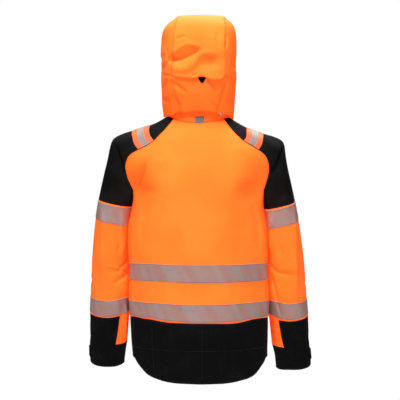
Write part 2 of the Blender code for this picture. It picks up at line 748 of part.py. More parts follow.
def zip_frame(tree):
    """Where the slider sits: across, along and out of the zip become X, Y and Z, from the slider's middle."""
    height = COLLAR_TOP[-1][1] - SLIDER_DROP
    x = settled((0, 0, height))[0]
    around_it = (-SLIDER[1], SLIDER[1] / 2, 0)
    (low, _), (high, _), (middle, _) = (touch(tree, x, height + step, False) for step in around_it)
    along = (high - low).normalized()
    across = Vector((1, 0, 0))
    out = across.cross(along)
    turn = Matrix((across, along, out)).transposed().to_4x4()
    return Matrix.Translation(middle) @ turn


def block(across, along, out, narrow=1.0):
    """A block given by its lowest and highest values on each axis, in mm.

    narrow is the share of its width at its low end.
    """
    mesh = bmesh.new()
    bmesh.ops.create_cube(mesh, size=1)
    for vert in mesh.verts:
        share = narrow if vert.co.y < 0 else 1
        spans = zip(vert.co, (across, along, out))
        vert.co = Vector([(a + b) / 2 + (b - a) * c for c, (a, b) in spans]) * MM
        vert.co.x *= share
    return mesh


def slider(frame, finish):
    half_across, half_along = SLIDER[0] / 2, SLIDER[1] / 2
    face = SEAM_GAP + SLIDER[2]
    half_arch, half_length = ARCH_WIDTH / 2, ARCH_LENGTH / 2
    body = block((-half_across, half_across), (-half_along, half_along), (SEAM_GAP, face), SLIDER_NECK)
    upright = [e for e in body.edges if abs(e.verts[0].co.z - e.verts[1].co.z) > MM]
    corner = SLIDER_CORNER * MM
    bmesh.ops.bevel(body, geom=upright, offset=corner, segments=2, profile=0.5, affect="EDGES", material=-1)
    arch = block((-half_arch, half_arch), (-half_length, half_length), (face - ARCH_ROOT, face + ARCH_RISE))
    inner = half_length - ARCH_WIRE
    hole = block((-half_across, half_across), (-inner, inner), (face, face + ARCH_RISE - ARCH_WIRE))
    made = place("zip_slider", body, finish)
    helpers = [place("slider_arch", arch, finish), place("slider_arch_hole", hole, finish)]
    for helper, operation in zip(helpers, ("UNION", "DIFFERENCE")):
        helper.hide_render = True
        helper.display_type = "WIRE"
        step = made.modifiers.new(helper.name, "BOOLEAN")
        step.operation = operation
        step.object = helper
    for thing in (made, *helpers):
        thing.data.transform(frame)
    return made


def pull_outline(half_width, top, foot, waist):
    """Half a round-ended outline, from the middle of its top edge to that of its foot, as (across, along)."""
    round_part = half_width * waist
    points = [(0, top), (half_width, top)]
    for i in range(PULL_CORNERS - 2):
        turn = math.pi / 2 * i / (PULL_CORNERS - 2)
        points.append((round_part * math.cos(turn), foot + round_part * (1 - math.sin(turn))))
    points.append((0, foot))
    return points


def pull(frame, finish):
    """The pull hangs from the slider's arch. Its origin is on its axis."""
    width, length, thickness = PULL
    gap, start, end = PULL_WINDOW
    outer = pull_outline(width / 2, PULL_HEAD, -length, PULL_WAIST)
    inner = pull_outline(gap / 2, -start, -end, 1)
    mesh = bmesh.new()
    rings = []
    for half in (outer, inner):
        ring = half + [(-x, y) for x, y in half[-2:0:-1]]
        rings.append([mesh.verts.new(Vector((x, y, -thickness / 2)) * MM) for x, y in ring])
    for i, corner in enumerate(rings[0]):
        after = (i + 1) % len(rings[0])
        mesh.faces.new([corner, rings[0][after], rings[1][after], rings[1][i]])
    grown = bmesh.ops.extrude_face_region(mesh, geom=list(mesh.faces))
    raised = [v for v in grown["geom"] if isinstance(v, bmesh.types.BMVert)]
    bmesh.ops.translate(mesh, verts=raised, vec=(0, 0, thickness * MM))
    bmesh.ops.recalc_face_normals(mesh, faces=mesh.faces)
    made = place("zip_pull", mesh, finish)
    axis = Vector((0, 0, (SEAM_GAP + SLIDER[2] + PULL_AXIS) * MM))
    made.matrix_world = frame @ Matrix.Translation(axis)
    return made


def adjuster(tree, finish):
    """A tab that narrows downwards, laid on the hood's nape."""
    width, height = ADJUSTER
    middle, top = ADJUSTER_TOP
    wall = bmesh.new()
    layers = {ADJUSTER_LIFT: [], ADJUSTER_LIFT + TAB_WALL: []}
    steps = np.linspace(0, 1, ADJUSTER_CELLS + 1)
    for lift, rows in layers.items():
        for down_share in steps:
            half = width / 2 * (1 + (ADJUSTER_POINT - 1) * down_share)
            spots = [touch(tree, middle + half * (1 - 2 * s), top - height * down_share, True) for s in steps]
            rows.append([wall.verts.new(point + normal * lift * MM) for point, normal in spots])
    inner, outer = layers.values()
    for r in range(ADJUSTER_CELLS):
        for c in range(ADJUSTER_CELLS):
            for rows in (inner, outer):
                wall.faces.new([rows[r][c], rows[r][c + 1], rows[r + 1][c + 1], rows[r + 1][c]])
    borders = [e for e in wall.edges if len(e.link_faces) == 1]
    bmesh.ops.bridge_loops(wall, edges=borders)
    bmesh.ops.triangulate(wall, faces=wall.faces)
    bmesh.ops.recalc_face_normals(wall, faces=wall.faces)
    return place("hood_adjuster", wall, finish)


def main():
    for thing in list(bpy.data.objects):
        bpy.data.objects.remove(thing)
    orange = material("orange_cloth", ORANGE, 0.75)
    black = material("black_cloth", BLACK, 0.8)
    silver = material("reflective_tape", SILVER, 0.45)
    steel = material("dark_steel", STEEL, 0.4, 0.9)
    sheet, hood = clothed(), hooded()
    sided = {"front": orange, "front_hem": black, "shoulder": black, "sleeve": orange, "forearm": black}
    for hand in ("left", "right"):
        for name, finish in sided.items():
            piece = f"{name}_{hand}"
            place(piece, cut(sheet, piece, -WALL, 0), finish)
        for name in ("band_shoulder", "band_upper_arm", "band_forearm"):
            piece = f"{name}_{hand}"
            place(piece, cut(sheet, piece, SEAM_GAP, SEAM_GAP + BAND_WALL), silver)
        place(f"cuff_tab_{hand}", cut(sheet, f"cuff_tab_{hand}", SEAM_GAP, SEAM_GAP + TAB_WALL), black)
        place(f"hood_side_{hand}", cut(hood, f"hood_side_{hand}", -HOOD_WALL, 0), orange)
    place("back_panel", cut(sheet, "back_panel", -WALL, 0), orange)
    place("back_hem", cut(sheet, "back_hem", -WALL, 0), black)
    place("zip", cut(sheet, "zip", -WALL, 0), black)
    place("collar", cut(sheet, "collar", -COLLAR_WALL, 0), orange)
    place("hood_crown", cut(hood, "hood_crown", -HOOD_WALL, 0), orange)
    place("hood_nape", cut(hood, "hood_nape", -HOOD_WALL, 0), orange)
    for name in ("band_chest", "band_waist"):
        place(name, cut(sheet, name, SEAM_GAP, SEAM_GAP + BAND_WALL), silver)
    place("neck_tab", cut(sheet, "neck_tab", SEAM_GAP, SEAM_GAP + LABEL_WALL), silver)
    frame = zip_frame(BVHTree.FromBMesh(sheet.mesh))
    slider(frame, steel)
    pull(frame, steel)
    adjuster(BVHTree.FromBMesh(hood.mesh), black)


main()
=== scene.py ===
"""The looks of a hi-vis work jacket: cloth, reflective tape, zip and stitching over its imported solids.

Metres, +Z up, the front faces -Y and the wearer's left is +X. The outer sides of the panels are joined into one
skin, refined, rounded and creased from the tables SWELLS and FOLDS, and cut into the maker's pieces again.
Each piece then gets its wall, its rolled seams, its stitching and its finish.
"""

import math

import bmesh
import bpy
import numpy as np
from mathutils import Euler, Matrix, Vector, noise
from mathutils.bvhtree import BVHTree
from mathutils.kdtree import KDTree


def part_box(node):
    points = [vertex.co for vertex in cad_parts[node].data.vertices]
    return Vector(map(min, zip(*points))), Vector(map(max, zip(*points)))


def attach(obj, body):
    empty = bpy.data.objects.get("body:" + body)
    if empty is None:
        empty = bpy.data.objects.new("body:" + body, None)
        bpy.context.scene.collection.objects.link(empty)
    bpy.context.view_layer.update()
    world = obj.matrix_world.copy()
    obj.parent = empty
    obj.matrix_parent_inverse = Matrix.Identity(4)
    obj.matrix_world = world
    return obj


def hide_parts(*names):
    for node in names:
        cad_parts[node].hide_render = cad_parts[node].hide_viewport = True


MM = 0.001
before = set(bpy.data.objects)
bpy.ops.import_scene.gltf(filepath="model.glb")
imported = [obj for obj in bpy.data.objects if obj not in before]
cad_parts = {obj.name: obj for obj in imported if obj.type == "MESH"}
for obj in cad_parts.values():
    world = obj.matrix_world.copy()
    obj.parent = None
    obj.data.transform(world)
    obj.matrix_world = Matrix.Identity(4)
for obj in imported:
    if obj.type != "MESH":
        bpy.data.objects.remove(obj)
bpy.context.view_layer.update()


def both_sides(*rows):
    """The rows, each one that is named with a * set down for the left and then for the right."""
    return tuple(
        tuple(value.replace("*", side) if isinstance(value, str) else value for value in row)
        for row in rows
        for side in (("left", "right") if "*" in row[0] else ("",))
    )


# Heart lines, which the outer sides look away from, and the mean half width and half depth around them
HEARTS = {
    "torso": (((4, 0, 120), (4, 0, -800)), (200, 146)),
    "arm_left": (((60, 0, -40), (233, -7, -203), (275, -57, -702)), (58, 66)),
    "arm_right": (((-60, 0, -40), (-233, -7, -203), (-275, -57, -702)), (58, 66)),
    "hood": (((-90, -20, 170), (90, -20, 170)), (150, 150)),
    "temple": (((0, -20, 170), (0, -20, 171)), (100, 100)),
}
# Cloth cut from the skin: name, form that it wraps, finish, wall in mm, the cut's width, length and filled share, and
# the pieces that it is sewn to and hangs from or lies on
PANELS = both_sides(
    ("back_panel", "torso", "orange", 2.0, 0.46, 0.59, 0.90, "shoulder_left shoulder_right collar"),
    ("back_hem", "torso", "black", 2.0, 0.46, 0.175, 0.85, "back_panel"),
    ("front_*", "torso", "orange", 2.0, 0.33, 0.56, 0.80, "shoulder_* zip"),
    ("front_hem_*", "torso", "black", 2.0, 0.33, 0.11, 0.91, "front_* zip"),
    ("zip", "torso", "zip_tape", 2.0, 0.012, 0.70, 0.88, "front_left front_right"),
    ("collar", "torso", "orange", 2.4, 0.53, 0.10, 0.74, "back_panel shoulder_left shoulder_right"),
    ("shoulder_*", "arm_*", "shoulder_black", 2.0, 0.41, 0.275, 0.73, "collar"),
    ("sleeve_*", "arm_*", "orange", 2.0, 0.41, 0.45, 0.80, "shoulder_*"),
    ("forearm_*", "arm_*", "black", 2.0, 0.40, 0.165, 0.64, "sleeve_*"),
    ("hood_crown", "hood", "orange", 1.6, 0.155, 0.44, 0.87, "hood_side_left hood_side_right"),
    ("hood_nape", "hood", "orange", 1.6, 0.155, 0.115, 0.88, "hood_crown"),
    ("hood_side_*", "temple", "orange", 1.6, 0.28, 0.325, 0.79, "collar hood_crown"),
)
BANDS = both_sides(
    ("band_chest", "torso", "tape", 0.8, 1.12, 0.05, 1.0, "back_panel front_left front_right"),
    ("band_waist", "torso", "tape", 0.8, 1.12, 0.05, 1.0, "back_panel front_left front_right"),
    ("band_upper_arm_*", "arm_*", "tape", 0.8, 0.43, 0.05, 0.98, "sleeve_*"),
    ("band_forearm_*", "arm_*", "tape", 0.8, 0.37, 0.05, 0.98, "sleeve_*"),
    ("band_shoulder_left", "arm_left", "shoulder_tape", 0.8, 0.05, 0.25, 0.98, "shoulder_left"),
    ("band_shoulder_right", "arm_right", "shoulder_tape", 0.8, 0.05, 0.235, 0.98, "shoulder_right"),
)
LEVELS = 3  # subdivisions of the joined skin
CORRECTIONS = 3  # of its control points
SAME_CORNER = 0.01
SEAM_REACH = 0.8  # neighbouring panels' corners lie nearer than this
FOLD_ANGLE = 50.0  # a wall's rim turns more sharply than this
FLAT_ENOUGH = 0.9  # triangles that turn less than this, in radians, are joined
RIM_DEPTH = 2.5  # a rim's faces are narrower than this
OUTWARD = 0.35  # how squarely the outer side looks away from the heart
SEAM_CORNER = -0.7  # cosine at which a seam turns a corner
NARROW_ROW = 9.0  # a row of faces beside a seam that is narrower than this is joined to the next
OVAL_STEPS = 720
ENDWAYS = 0.6  # a strip's border that runs along the arm more squarely than this is an end
WALL_PLAY = 0.4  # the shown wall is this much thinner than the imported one
BORDER_ROLL = (0.6, 0.5)  # width and drop of a panel's border at its seam
TAPE_ROLL = (0.8, 0.35)
TAPE_LIFT = 1.1  # of a tape's face over its cloth
TAPE_DROP = 12.0  # a tape is laid on its cloth from this far out
WAVES = ((0.5, 5.0), (0.25, 28.0), (0.6, 75.0))  # height in mm, and waves a metre; the last pucker the seams
WAVE_PLACE = Vector((5, 1, 3))
PUCKER_REACH = 14.0  # from a seam, in mm

# Lines are drawn in views from 3 m away: each place is x,y in 400ths of the view, across to the right and down
VIEW_DISTANCE = 3000.0
VIEW_STEP = 2.9
VIEW_HEIGHT = -220.0
VIEW_MIDDLE = 200
VIEWS = {"back": 180, "front": 0, "left": 90, "right": -90}  # turn of the looker about Z
FADE = 0.3  # share of a fold's length over which each end fades out
SHARP = True  # a fold's edge is creased, and not round
TORSO = "back_panel back_hem front_left front_right front_hem_left front_hem_right shoulder_left shoulder_right"
ARM_LEFT = "shoulder_left sleeve_left forearm_left"
ARM_RIGHT = "shoulder_right sleeve_right forearm_right"
HOOD = "hood_crown hood_nape hood_side_left hood_side_right"
# Soft swellings that round the cloth out as it is worn: pieces, centre, reach and move in mm
SWELLS = (
    (HOOD, (98, -20, 300), (60, 170, 60), (-9, 0, -2)),
    (HOOD, (-98, -20, 300), (60, 170, 64), (9, 0, -2)),
    (HOOD, (0, -20, 320), (100, 150, 60), (0, 0, -5)),
    (HOOD, (110, 0, 100), (60, 150, 100), (-6, 0, 0)),
    (HOOD, (-105, 0, 80), (60, 150, 90), (6, 0, 0)),
    (HOOD, (108, 0, 183), (40, 150, 16), (-3, 0, 0)),
    (HOOD, (98, 20, 22), (40, 80, 35), (-3, 0, -4)),
    (HOOD, (-100, 20, 20), (44, 90, 40), (2, 0, -11)),
    (HOOD, (-66, 50, 235), (48, 150, 120), (-9, -4, 0)),
    (HOOD, (-6, 76, 28), (100, 60, 62), (0, 12, 0)),
    (HOOD, (62, 75, 22), (20, 40, 18), (0, 4, 6)),
    (HOOD, (-78, 62, 14), (20, 40, 18), (0, 4, 6)),
    (ARM_LEFT, (250, 0, -38), (50, 80, 50), (-4, 0, -1)),
    (ARM_LEFT, (120, 0, 0), (70, 80, 40), (0, 0, -5)),
    (ARM_RIGHT, (-120, 0, -4), (80, 80, 40), (0, 0, -3)),
    (ARM_RIGHT, (-240, 0, -45), (50, 80, 50), (2, 0, 0)),
    ("sleeve_left", (216, -14, -300), (36, 100, 110), (-8, 0, 0)),
    ("sleeve_right", (-198, -14, -300), (36, 100, 110), (8, 0, 0)),
    ("sleeve_left", (212, -30, -470), (36, 90, 130), (-7, 0, 0)),
    ("sleeve_right", (-204, -30, -470), (36, 90, 130), (9, 0, 0)),
    ("back_panel front_left", (203, 0, -340), (40, 100, 150), (4, 0, 0)),
    ("back_panel front_right", (-187, 0, -340), (40, 100, 150), (-4, 0, 0)),
    ("back_panel front_left", (201, 0, -490), (40, 100, 90), (3, 0, 0)),
    ("back_panel front_right", (-191, 0, -490), (40, 100, 90), (-5, 0, 0)),
    ("back_hem", (-168, 148, -690), (70, 80, 70), (-12, 0, -8)),
    ("back_hem", (168, 148, -690), (70, 80, 70), (7, 0, -5)),
    ("back_hem front_hem_left front_hem_right", (-180, 110, -672), (44, 100, 34), (-6, 0, 0)),
    ("back_hem front_hem_left front_hem_right", (182, 110, -672), (44, 100, 34), (5, 0, 0)),
    ("collar back_panel", (-3, 92, -8), (70, 60, 26), (0, 0, 5)),
    ("back_hem", (0, 150, -730), (70, 50, 30), (0, 0, 2)),
    ("forearm_right", (-235, -50, -706), (36, 70, 40), (3, 0, -6)),
    # seams and tapes
    ("back_panel back_hem front_hem_left front_left", (180, 90, -552), (110, 140, 70), (0, 0, 11)),
    ("back_panel back_hem front_hem_right front_right", (-180, 90, -552), (110, 140, 70), (0, 0, 11)),
    ("back_panel back_hem", (0, 150, -566), (160, 90, 60), (0, 0, 3)),
    ("band_waist", (0, 150, -540), (170, 90, 90), (0, 0, -2.4)),
    ("band_waist", (180, 110, -562), (90, 130, 50), (0, 0, 6)),
    ("band_waist", (-180, 110, -562), (90, 130, 50), (0, 0, 6)),
    ("sleeve_left forearm_left", (268, -40, -568), (110, 130, 66), (-1, 1.6, 15)),
    ("sleeve_right forearm_right", (-268, -40, -572), (110, 130, 66), (1, 1.6, 14)),
    ("band_forearm_left", (266, -38, -540), (130, 150, 90), (-1, 1, 9)),
    ("band_forearm_right", (-266, -38, -545), (130, 150, 90), (1, 1, 10)),
    ("band_upper_arm_left", (255, -14, -255), (120, 140, 90), (0, 0, 5.5)),
    ("band_upper_arm_right", (-258, -14, -262), (120, 140, 90), (0, 0, 11)),
    ("shoulder_left sleeve_left", (255, -10, -228), (110, 130, 50), (0, 0, -2)),
    ("shoulder_left sleeve_left", (186, -10, -236), (30, 80, 40), (-7, 0, 0)),
    ("shoulder_right sleeve_right", (-182, -10, -240), (30, 80, 40), (5, 0, 0)),
    ("back_panel front_left", (192, 0, -236), (30, 80, 40), (3, 0, 0)),
    ("back_panel front_left shoulder_left sleeve_left band_upper_arm_left",
     (192, 20, -202), (55, 130, 96), (-10, 0, 0)),
    ("sleeve_left forearm_left band_forearm_left", (212, -30, -530), (66, 130, 88), (0, 0, 14)),
    ("sleeve_right forearm_right band_forearm_right", (-208, -30, -536), (64, 130, 88), (0, 0, 13)),
    ("back_panel back_hem band_waist", (110, 130, -552), (100, 90, 60), (0, 0, 4)),
    ("back_panel back_hem front_hem_left front_left band_waist", (196, 60, -552), (40, 130, 60), (0, 0, 4)),
    ("band_chest", (130, 120, -440), (110, 120, 80), (0, 0, 2.5)),
    ("shoulder_right sleeve_right", (-240, -10, -234), (110, 130, 50), (0, 0, 2.5)),
    ("shoulder_left sleeve_left band_upper_arm_left", (188, -10, -238), (28, 90, 40), (-4, 0, 0)),
    ("back_panel shoulder_left band_shoulder_left", (146, 100, -72), (56, 70, 56), (-4.5, 0, -3)),
    ("band_shoulder_left", (165, 0, -8), (90, 80, 50), (-7, 0, 1.5)),
    ("band_shoulder_right", (-158, 10, -20), (90, 90, 60), (8, 0, 2)),
    ("band_shoulder_right", (-138, 110, -66), (60, 90, 60), (-6, 0, -3)),
)
# Folds, by the view that they are drawn in and the pieces that they press: places along the fold, reach to its left
# and right in mm, and height in mm (a trough is negative)
FOLDS = (
    ("back", HOOD, (
        ("167,60 178,49 190,44.5 206,50", 18, 15, 5.0, SHARP),
        ("166,61 180,59 191,54.5 206,45", 26, 12, -12.0, SHARP),
        ("167,64 180,69 190,65.5 202,54", 14, 17, 4.5),
        ("161,73.5 167,75 175,76.4", 6, 12, -3.0, SHARP),
        ("221,79.4 230,75.5 237,72", 6, 12, -3.0, SHARP),
        ("198,53 208,53 220,56", 14, 12, 3.0),
        ("194,62 206,63 219,59", 26, 32, -8.5),
        ("175,40.5 182,36.5 187,37", 9, 7, -4.5),
        ("218,31 217.5,41 221,49", 8, 7, -4.5),
        ("226,32 227,42 225,51", 7, 8, -4.5),
        ("169,80.5 179,86 189,94", 6, 15, -6.5, SHARP),
        ("206,78 212,85 218,93.5", 15, 6, -6.5, SHARP),
        ("230,76 224,92 219,106", 9, 9, -4.0),
        ("173,96 183,107", 7, 9, -5.0),
        ("211,101 218,110", 9, 7, -5.0),
        ("165,42 167,58 163,76", 8, 8, -3.0),
        ("233,62 230,78 232,98", 8, 8, -3.0),
    )),
    ("left", HOOD, (
        ("236,62 222,66 206,62", 14, 10, -4.0),
        ("236,80 226,83 213,89", 10, 14, -5.0, SHARP),
        ("230,101 221,99 211,95", 12, 10, -3.0),
        ("176,38 186,60 184,84", 16, 12, -4.5),
        ("194,30 206,46 209,60", 12, 16, -3.0),
    )),
    ("right", HOOD, (
        ("164,58 176,64 192,63", 10, 14, -4.0),
        ("164,77 174,81 186,90", 12, 9, -5.0, SHARP),
        ("170,102 180,99 189,95", 10, 12, -3.0),
        ("222,42 213,62 217,86", 12, 16, -4.5),
    )),
    ("back", ARM_LEFT, (
        ("112,136 120,158 128,182", 7, 28, -11.0, SHARP),
        ("103,196 103,250 104,310", 22, 24, 8.0, SHARP),
        ("121,206 121,232 123,262", 30, 12, 6.0, SHARP),
        ("131,257 125,264 117,271", 9, 13, -7.0, SHARP),
        ("130.5,272.5 122,271 110,268.5", 8, 11, -5.0, SHARP),
        ("130,273 121,279 111,286.5", 9, 16, -6.0, SHARP),
        ("104,265 115,268 127,273", 7, 6, 4.0, SHARP),
        ("119,292 122,304 121,316", 14, 12, -2.0),
        ("118,228 121,242 117,256", 14, 12, -3.0),
        ("98,326 103,342 102,362", 12, 14, -4.0),
        ("125.5,300 124.8,316 124.4,330 124.6,346", 12, 24, 9.0, SHARP),
    )),
    ("back", ARM_RIGHT, (
        ("286,140 279,159 269,178", 28, 8, -10.0, SHARP),
        ("293,196 295,250 296,310", 24, 22, 7.5, SHARP),
        ("273,212 271,236 271,258", 12, 26, 5.0, SHARP),
        ("268,263 275.5,271.5 285,274 298,275", 16, 10, -5.5, SHARP),
        ("271,275 274,289 277.5,304", 14, 8, -5.5, SHARP),
        ("277,299 281,318", 9, 8, -3.5, SHARP),
        ("281,232 279,246 283,258", 12, 14, -3.0),
        ("300,328 296,344 298,362", 14, 12, -4.0),
    )),
    ("back", TORSO, (
        ("146,160 141,177 134,195", 8, 26, -8.0, SHARP),
        ("160,148 147,163 138,186", 14, 15, -3.2),
        ("169,150 156,168 145,194", 18, 14, 2.5),
        ("142,186 148,190 158,193", 12, 14, -1.2),
        ("240,148 253,166 264,190", 18, 22, -1.4),
        ("147,196 142,222 140,254", 30, 18, -4.0),
        ("252,200 258,226 258,256", 18, 28, -3.0),
        ("186,132 178,158 180,190", 34, 30, -1.6),
        ("221,140 226,170 222,205", 30, 34, -1.6),
        ("160,283 161,294 159,304", 16, 14, -1.5),
        ("236,284 234,296 236,304", 14, 16, -1.5),
        ("166,326 163,350 166,382", 22, 16, -3.5),
        ("229,328 232,352 230,380", 16, 24, -3.5),
    )),
    ("front", TORSO, (
        ("228,142 238,166 244,190", 14, 18, -4.0),
        ("171,146 162,168 158,196", 18, 14, -4.5),
        ("262,204 250,214 232,226", 14, 9, -5.0),
        ("136,206 150,218 166,226", 9, 14, -4.5),
        ("261,222 254,242 252,262", 18, 12, -3.5),
        ("140,226 146,246 146,262", 12, 18, -3.0),
        ("214,232 218,262 214,300", 16, 22, -2.5),
        ("186,240 181,268 184,302", 22, 16, -2.5),
        ("236,318 239,334 236,352", 14, 18, -3.5),
        ("163,320 160,336 164,352", 18, 14, -3.5),
    )),
    ("front", ARM_LEFT, (
        ("286,142 279,160 270,182", 8, 20, -7.0, SHARP),
        ("270,256 277,264 287,270", 13, 8, -9.0, SHARP),
        ("269,272 278,274 294,271", 9, 8, -8.0, SHARP),
        ("271,288 279,281 291,277", 8, 13, -7.5, SHARP),
        ("281,228 285,244 282,256", 14, 12, -4.0),
    )),
    ("front", ARM_RIGHT, (
        ("114,141 120,160 130,180", 20, 8, -7.5, SHARP),
        ("130,254 124,262 112,268", 8, 13, -9.0, SHARP),
        ("131,270 121,275 108,273", 8, 9, -7.0, SHARP),
        ("129,290 121,283 107,279", 13, 8, -8.0, SHARP),
        ("118,232 114,246 118,258", 12, 14, -4.0),
    )),
    ("left", ARM_LEFT, (
        ("196,150 202,172 200,196", 16, 20, -4.0),
        ("174,262 182,267 192,268", 12, 10, -4.0, SHARP),
        ("214,264 206,272 196,277", 10, 14, -4.0, SHARP),
        ("180,286 192,290 206,284", 10, 14, -2.0),
        ("184,328 182,346 186,364", 12, 14, -3.5),
    )),
    ("right", ARM_RIGHT, (
        ("203,148 198,170 202,194", 20, 16, -4.0),
        ("224,259 215,266 206,268", 10, 12, -4.0, SHARP),
        ("184,266 193,274 204,279", 14, 10, -4.0, SHARP),
        ("219,290 206,293 192,288", 14, 10, -2.0),
        ("217,330 219,346 214,362", 14, 12, -3.5),
    )),
)


class Number:
    """A shader value that takes part in ordinary arithmetic."""

    def __init__(self, finish, socket):
        self.finish, self.socket = finish, socket

    def maths(self, operation, *values):
        return self.finish.node("ShaderNodeMath", {"operation": operation}, dict(enumerate(values)))

    def wave(self, period):
        """From 0 to 1 and back over each period."""
        return 0.5 + 0.5 * self.maths("SINE", self * (math.tau / period))

    def ramp(self, start, end):
        """0 up to start, 1 from end on, smooth between."""
        settings = {"interpolation_type": "SMOOTHSTEP"}
        return self.finish.node("ShaderNodeMapRange", settings, {0: self, 1: start, 2: end})


for sign, operation in zip("add sub mul gt lt".split(), "ADD SUBTRACT MULTIPLY GREATER_THAN LESS_THAN".split()):
    setattr(Number, f"__{sign}__", lambda self, other, operation=operation: self.maths(operation, self, other))
    setattr(Number, f"__r{sign}__", lambda self, other, operation=operation: self.maths(operation, other, self))


class Finish:
    """One material, built up node by node."""

    def __init__(self, name, roughness=0.5, specular=0.5, **sockets):
        self.material = bpy.data.materials.new(name)
        self.material.use_nodes = True
        self.tree = self.material.node_tree
        self.surface = self.tree.nodes["Principled BSDF"]
        self.wear(Roughness=roughness, Specular_IOR_Level=specular, **sockets)
        self.place = self.node("ShaderNodeTexCoord", output="Object")
        self.cut = self.node("ShaderNodeUVMap", {"uv_map": "cut"})
        self.seam = self.node("ShaderNodeAttribute", {"attribute_name": "seam"}, output="Fac")
        self.across, self.along = self.part_of(self.cut, "X"), self.part_of(self.cut, "Y")

    def node(self, kind, settings=None, inputs=None, output=0):
        made = self.tree.nodes.new(kind)
        for name, value in (settings or {}).items():
            setattr(made, name, value)
        for name, value in (inputs or {}).items():
            self.feed(made.inputs[name], value)
        return Number(self, made.outputs[output])

    def feed(self, socket, value):
        if isinstance(value, Number):
            self.tree.links.new(value.socket, socket)
        else:
            socket.default_value = value

    def part_of(self, vector, axis):
        return self.node("ShaderNodeSeparateXYZ", inputs={0: vector}, output=axis)

    def noise(self, size, detail=2.0, where=None):
        """Cloudy noise from 0 to 1 whose patches are about size across, in metres."""
        inputs = {"Vector": where or self.place, "Scale": 1 / size, "Detail": detail}
        return self.node("ShaderNodeTexNoise", inputs=inputs)

    def mix(self, share, first, second):
        return self.node("ShaderNodeMix", {"data_type": "RGBA"}, {0: share, 6: first, 7: second}, 2)

    def bump(self, height, distance):
        return self.node("ShaderNodeBump", inputs={"Height": height, "Distance": distance, "Strength": 1.0})

    def twill(self):
        """Fine slanted ribs with the slubs of spun yarn."""
        ribs = (self.across + self.along).wave(TWILL_PITCH)
        return self.bump(ribs * 0.6 + self.noise(TWILL_PITCH * 3, 3.0, self.cut), TWILL_LIFT)

    def wear(self, **sockets):
        for name, value in sockets.items():
            self.feed(self.surface.inputs[name.replace("_", " ")], value)
        return self.material


TWILL_PITCH = 1.3 * MM
TWILL_LIFT = 0.12 * MM
BEAD = 0.6 * MM  # size of the grain on reflective tape
ORANGE = (0.95, 0.235, 0.022, 1.0)
ORANGE_LIT = (1.0, 0.275, 0.030, 1.0)
ORANGE_SEAM = (0.9, 0.18, 0.016, 1.0)
# painted glow: an orange emission on the cloth, its thread and the shoulder tape, standing in for fluorescence and
# keeping shaded orange red
ORANGE_GLOW = (1.0, 0.030, 0.003, 1.0)
COATED = (0.62, 0.12, 0.016, 1.0)
COATED_LIT = (0.72, 0.15, 0.022, 1.0)
BLACK = (0.0032, 0.003, 0.0032, 1.0)
BLACK_WORN = (0.0075, 0.007, 0.007, 1.0)
# lighter black for the shoulders: partly faded cloth, partly painted top light
SHOULDER_WORN_AND_LIT = (0.0105, 0.0098, 0.0099, 1.0)
SILVER = (0.315, 0.285, 0.285, 1.0)
SILVER_LIT = (0.44, 0.37, 0.35, 1.0)
HATCH_ORANGE = (0.68, 0.17, 0.085, 1.0)
LABEL_VIOLET = (0.10, 0.07, 0.12, 1.0)
LABEL_FOOT = -8.0 * MM  # height of the neck tab's foot
TAPE_ORANGE = (0.95, 0.17, 0.03, 1.0)
TAPE_RED = (0.30, 0.02, 0.012, 1.0)
TAPE_DARK = (0.05, 0.04, 0.045, 1.0)


def orange_cloth():
    # painted glow: the cloth emits ORANGE_GLOW, which lifts its shade
    finish = Finish("orange_twill", 0.82, 0.2, Emission_Strength=0.62, Emission_Color=ORANGE_GLOW)
    colour = finish.mix(finish.noise(0.11, 3.0).ramp(0.35, 0.7), ORANGE, ORANGE_LIT)
    worn = (1 - finish.seam.ramp(0.001, 0.006)) * (0.4 + 0.6 * finish.noise(0.012))
    return finish.wear(Base_Color=finish.mix(worn, colour, ORANGE_SEAM), Normal=finish.twill())


def coated_side():
    finish = Finish("orange_coated_side", 0.6, 0.3)
    colour = finish.mix(finish.noise(0.03, 4.0), COATED, COATED_LIT)
    return finish.wear(Base_Color=colour, Normal=finish.bump(finish.noise(0.003, 3.0), 0.1 * MM))


def black_cloth(name, worn, faded_and_lit=0.0):
    """Black twill, rubbed in patches and along its edges. Near its seams it may be faded and lighter, out to a few
    centimetres; the shoulders' lighter copy is partly faded cloth and partly painted top light.
    """
    finish = Finish(name, 0.85, 0.07)
    rubbed = finish.noise(0.05, 4.0) * finish.noise(0.004)
    edge = (1 - finish.seam.ramp(0.0005, 0.003)) * finish.noise(0.008)
    # lighter near the seams: partly fading, partly painted top light on the shoulders
    broad = (1 - finish.seam.ramp(0.008, 0.045)) * faded_and_lit
    colour = finish.mix(rubbed.ramp(0.2, 0.5) * (1 - 0.6 * faded_and_lit) + 0.5 * edge + broad, BLACK, worn)
    return finish.wear(Base_Color=colour, Normal=finish.twill())


def thread(name, colour, glow=0.0):
    # painted glow: a thread may emit ORANGE_GLOW
    finish = Finish(name, 0.6, 0.35, Emission_Strength=glow, Emission_Color=ORANGE_GLOW)
    strands = finish.noise(0.6 * MM)
    dull = (*(0.7 * each for each in colour), 1)
    return finish.wear(Base_Color=finish.mix(strands, dull, (*colour, 1)), Normal=finish.bump(strands, 0.1 * MM))


def reflective_tape():
    finish = Finish("reflective_tape", 0.5, 0.4)
    lines = finish.across + finish.along * 0.5
    hatch = lines.wave(3.6 * MM).ramp(0.4, 0.8)
    # painted sheen: broad slanted bands, stretched along the hatch, lighten the tape towards SILVER_LIT and soften its
    # hatch
    broad = finish.noise(0.045, 1.0, finish.node("ShaderNodeCombineXYZ", inputs={0: lines}))
    colour = finish.mix(hatch * (1.0 - 0.3 * broad.ramp(0.35, 0.65)), SILVER, HATCH_ORANGE)
    colour = finish.mix(broad.ramp(0.4, 0.6) * 0.35, colour, SILVER_LIT)
    colour = finish.mix(finish.noise(0.02, 4.0).ramp(0.45, 0.8) * 0.1, colour, TAPE_DARK)
    height = finish.noise(BEAD, 2.0, finish.cut) * 0.4 - hatch
    return finish.wear(Base_Color=colour, Normal=finish.bump(height, 0.12 * MM))


